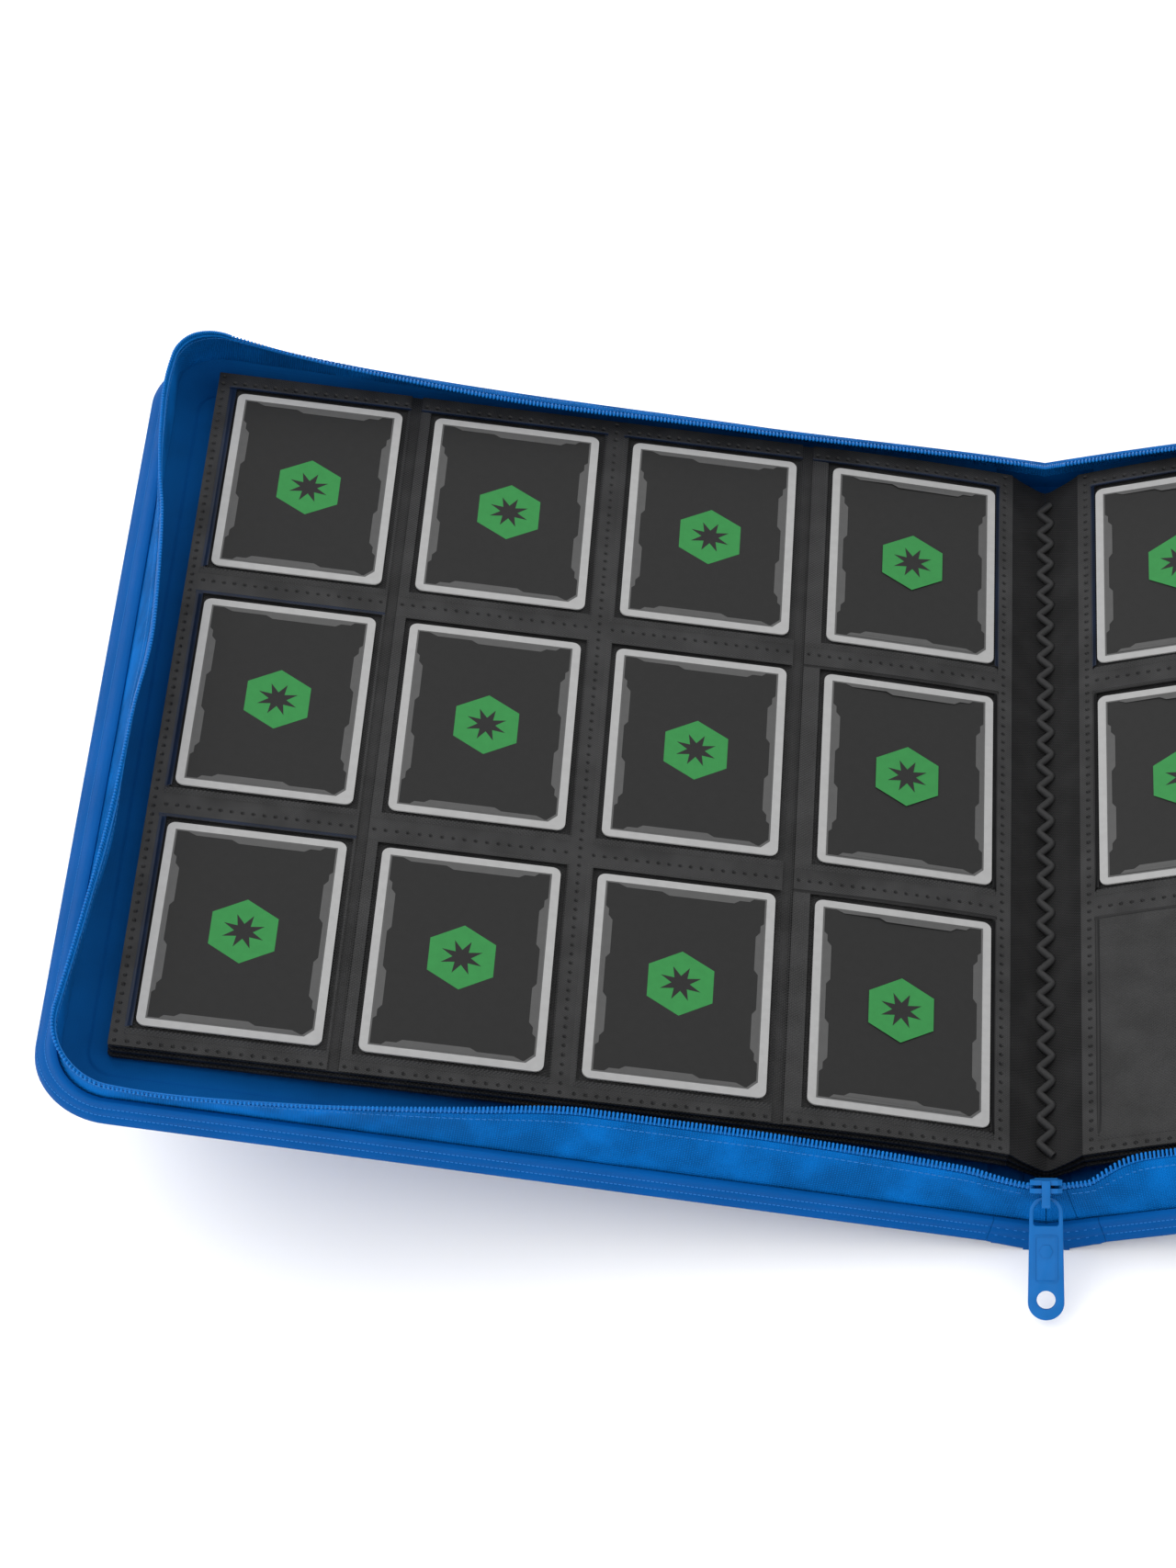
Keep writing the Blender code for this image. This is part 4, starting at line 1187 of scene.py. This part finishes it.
def make_slider():
    for node in ("slider_body", "slider_crown"):
        soften(node, "metal", 0.28 * MM)
    # The crown's strap wraps over the nose, from the inner plate to the arch.
    strap = [(-6.3, 2.0), (-6.3, -6.0), (-5.4, -7.05), (-4.85, -7.05), (-4.85, -2.5), (-5.47, -2.4),
             (-5.47, 2.0)]
    strap_outline = [(a * MM, b * MM) for a, b in strap]
    slab("slider_strap", strap_outline, -STRAP_HALF_WIDTH, STRAP_HALF_WIDTH, slider_point, ["metal"],
         "slider", bevel=0.25 * MM)
    top_radius, tip_radius = 5.55 * MM, 6.1 * MM
    top_centre, tip_centre = 0.75 * MM - top_radius, tip_radius - TAB_LENGTH

    def arc(centre, radius, start, end, steps):
        turns = [math.radians(start + (end - start) * i / steps) for i in range(steps + 1)]
        return [(radius * math.cos(a), centre + radius * math.sin(a)) for a in turns]

    outline = arc(top_centre, top_radius, 0, 180, 20) + arc(tip_centre, tip_radius, 180, 360, 20)
    inner = top_radius - 1.35 * MM
    ring = arc(top_centre, inner, 0, 180, 16)
    ring += [(-inner, -8.8 * MM), (-inner + 0.6 * MM, -9.4 * MM), (inner - 0.6 * MM, -9.4 * MM),
             (inner, -8.8 * MM)]
    hole = arc(tip_centre + 0.8 * MM, 3.15 * MM, 0, 345, 23)
    half = TAB_THICKNESS / 2
    tab = slab("pull_tab_grip", outline, -half, half, tab_point, ["metal"], "pull_tab",
               bevel=0.35 * MM, holes=(ring, hole))
    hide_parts("pull_tab")
    # A raised frame round the grip's flat face, and a plain badge inside it.
    low, high, border = (-3.9 * MM, -28.5 * MM), (3.9 * MM, -12.5 * MM), 0.45 * MM
    frame_hole = rounded_outline([c + border for c in low], [c - border for c in high], 0.6 * MM, steps=4)
    turns = [math.radians(60 * i) for i in range(6)]
    badge = [(2.3 * MM * math.cos(a), -18 * MM + 2.5 * MM * math.sin(a)) for a in turns]
    slab("pull_tab_frame", rounded_outline(low, high, 1.0 * MM, steps=4), half - 0.05 * MM, half + 0.25 * MM,
         tab_point, ["metal"], "pull_tab", bevel=0.08 * MM, holes=(frame_hole,))
    slab("pull_tab_badge", badge, half - 0.05 * MM, half + 0.25 * MM, tab_point, ["metal"], "pull_tab",
         bevel=0.08 * MM)


# ---------------------------------------------------------------- stage, light and camera


def make_stage():
    bpy.ops.mesh.primitive_plane_add(size=12)
    floor = bpy.context.object
    floor.name = "studio_floor"
    paint = Shader("floor_paint", (0.97, 0.97, 0.97), 0.9)
    paint.mottle(paint.noise(paint.place(scale=(0.01, 0.01, 0.01)), 1.0, 2), 0.995, 1.0)
    floor.data.materials.append(paint.material)
    floor.location.z = -0.2 * MM


def area_light(name, place, aim, size, power):
    light = bpy.data.lights.new(name, "AREA")
    light.shape, light.size, light.energy = "SQUARE", size, power
    obj = bpy.data.objects.new(name, light)
    obj.location = place
    obj.rotation_euler = (Vector(aim) - Vector(place)).to_track_quat("-Z", "Y").to_euler()
    bpy.context.scene.collection.objects.link(obj)


def make_light():
    world = bpy.data.worlds.new("studio")
    bpy.context.scene.world = world
    world.use_nodes = True
    background = world.node_tree.nodes["Background"]
    background.inputs["Color"].default_value = (1, 1, 1, 1)
    background.inputs["Strength"].default_value = 1.2
    area_light("key", (-1.3, 0.6, 1.9), (0, 0, 0), 1.8, 19)
    area_light("fill", (-0.9, -1.6, 1.2), (0, 0, 0), 2.4, 17)
    bpy.context.scene.view_settings.view_transform = "Standard"


def make_camera():
    place = Vector((-0.00097, -0.99356, 1.23802))
    yaw, pitch, roll = (math.radians(a) for a in (-9.394, 50.109, -7.278))
    ahead = Vector((math.sin(yaw) * math.cos(pitch), math.cos(yaw) * math.cos(pitch), -math.sin(pitch)))
    right = ahead.cross(Vector((0, 0, 1))).normalized()
    up = right.cross(ahead)
    right, up = math.cos(roll) * right + math.sin(roll) * up, -math.sin(roll) * right + math.cos(roll) * up
    data = bpy.data.cameras.new("camera")
    data.sensor_fit, data.sensor_height, data.sensor_width = "VERTICAL", 36, 27
    data.lens = 99.19
    data.clip_start, data.clip_end = 0.05, 30
    camera = bpy.data.objects.new("camera", data)
    turn = Matrix((right, up, -ahead)).transposed()
    camera.matrix_world = Matrix.Translation(place) @ turn.to_4x4()
    bpy.context.scene.collection.objects.link(camera)
    bpy.context.scene.camera = camera


for label, side in SIDES:
    make_board(label, side)
    make_lining(label, side)
    make_wall(label, side)
    make_leaf_sheets(label, side)
    filled = 3 if side == LEFT else 2
    for part in FILMS:
        make_film(label, side, part, filled)
    for row in range(filled):
        for column in range(len(CARD_CENTRES)):
            make_card(label, side, column, row)
make_spine()
make_pleats()
make_tape_ends()
make_hinge_linings()
make_webs()
make_seam()
make_slider()
make_stage()
make_light()
make_camera()
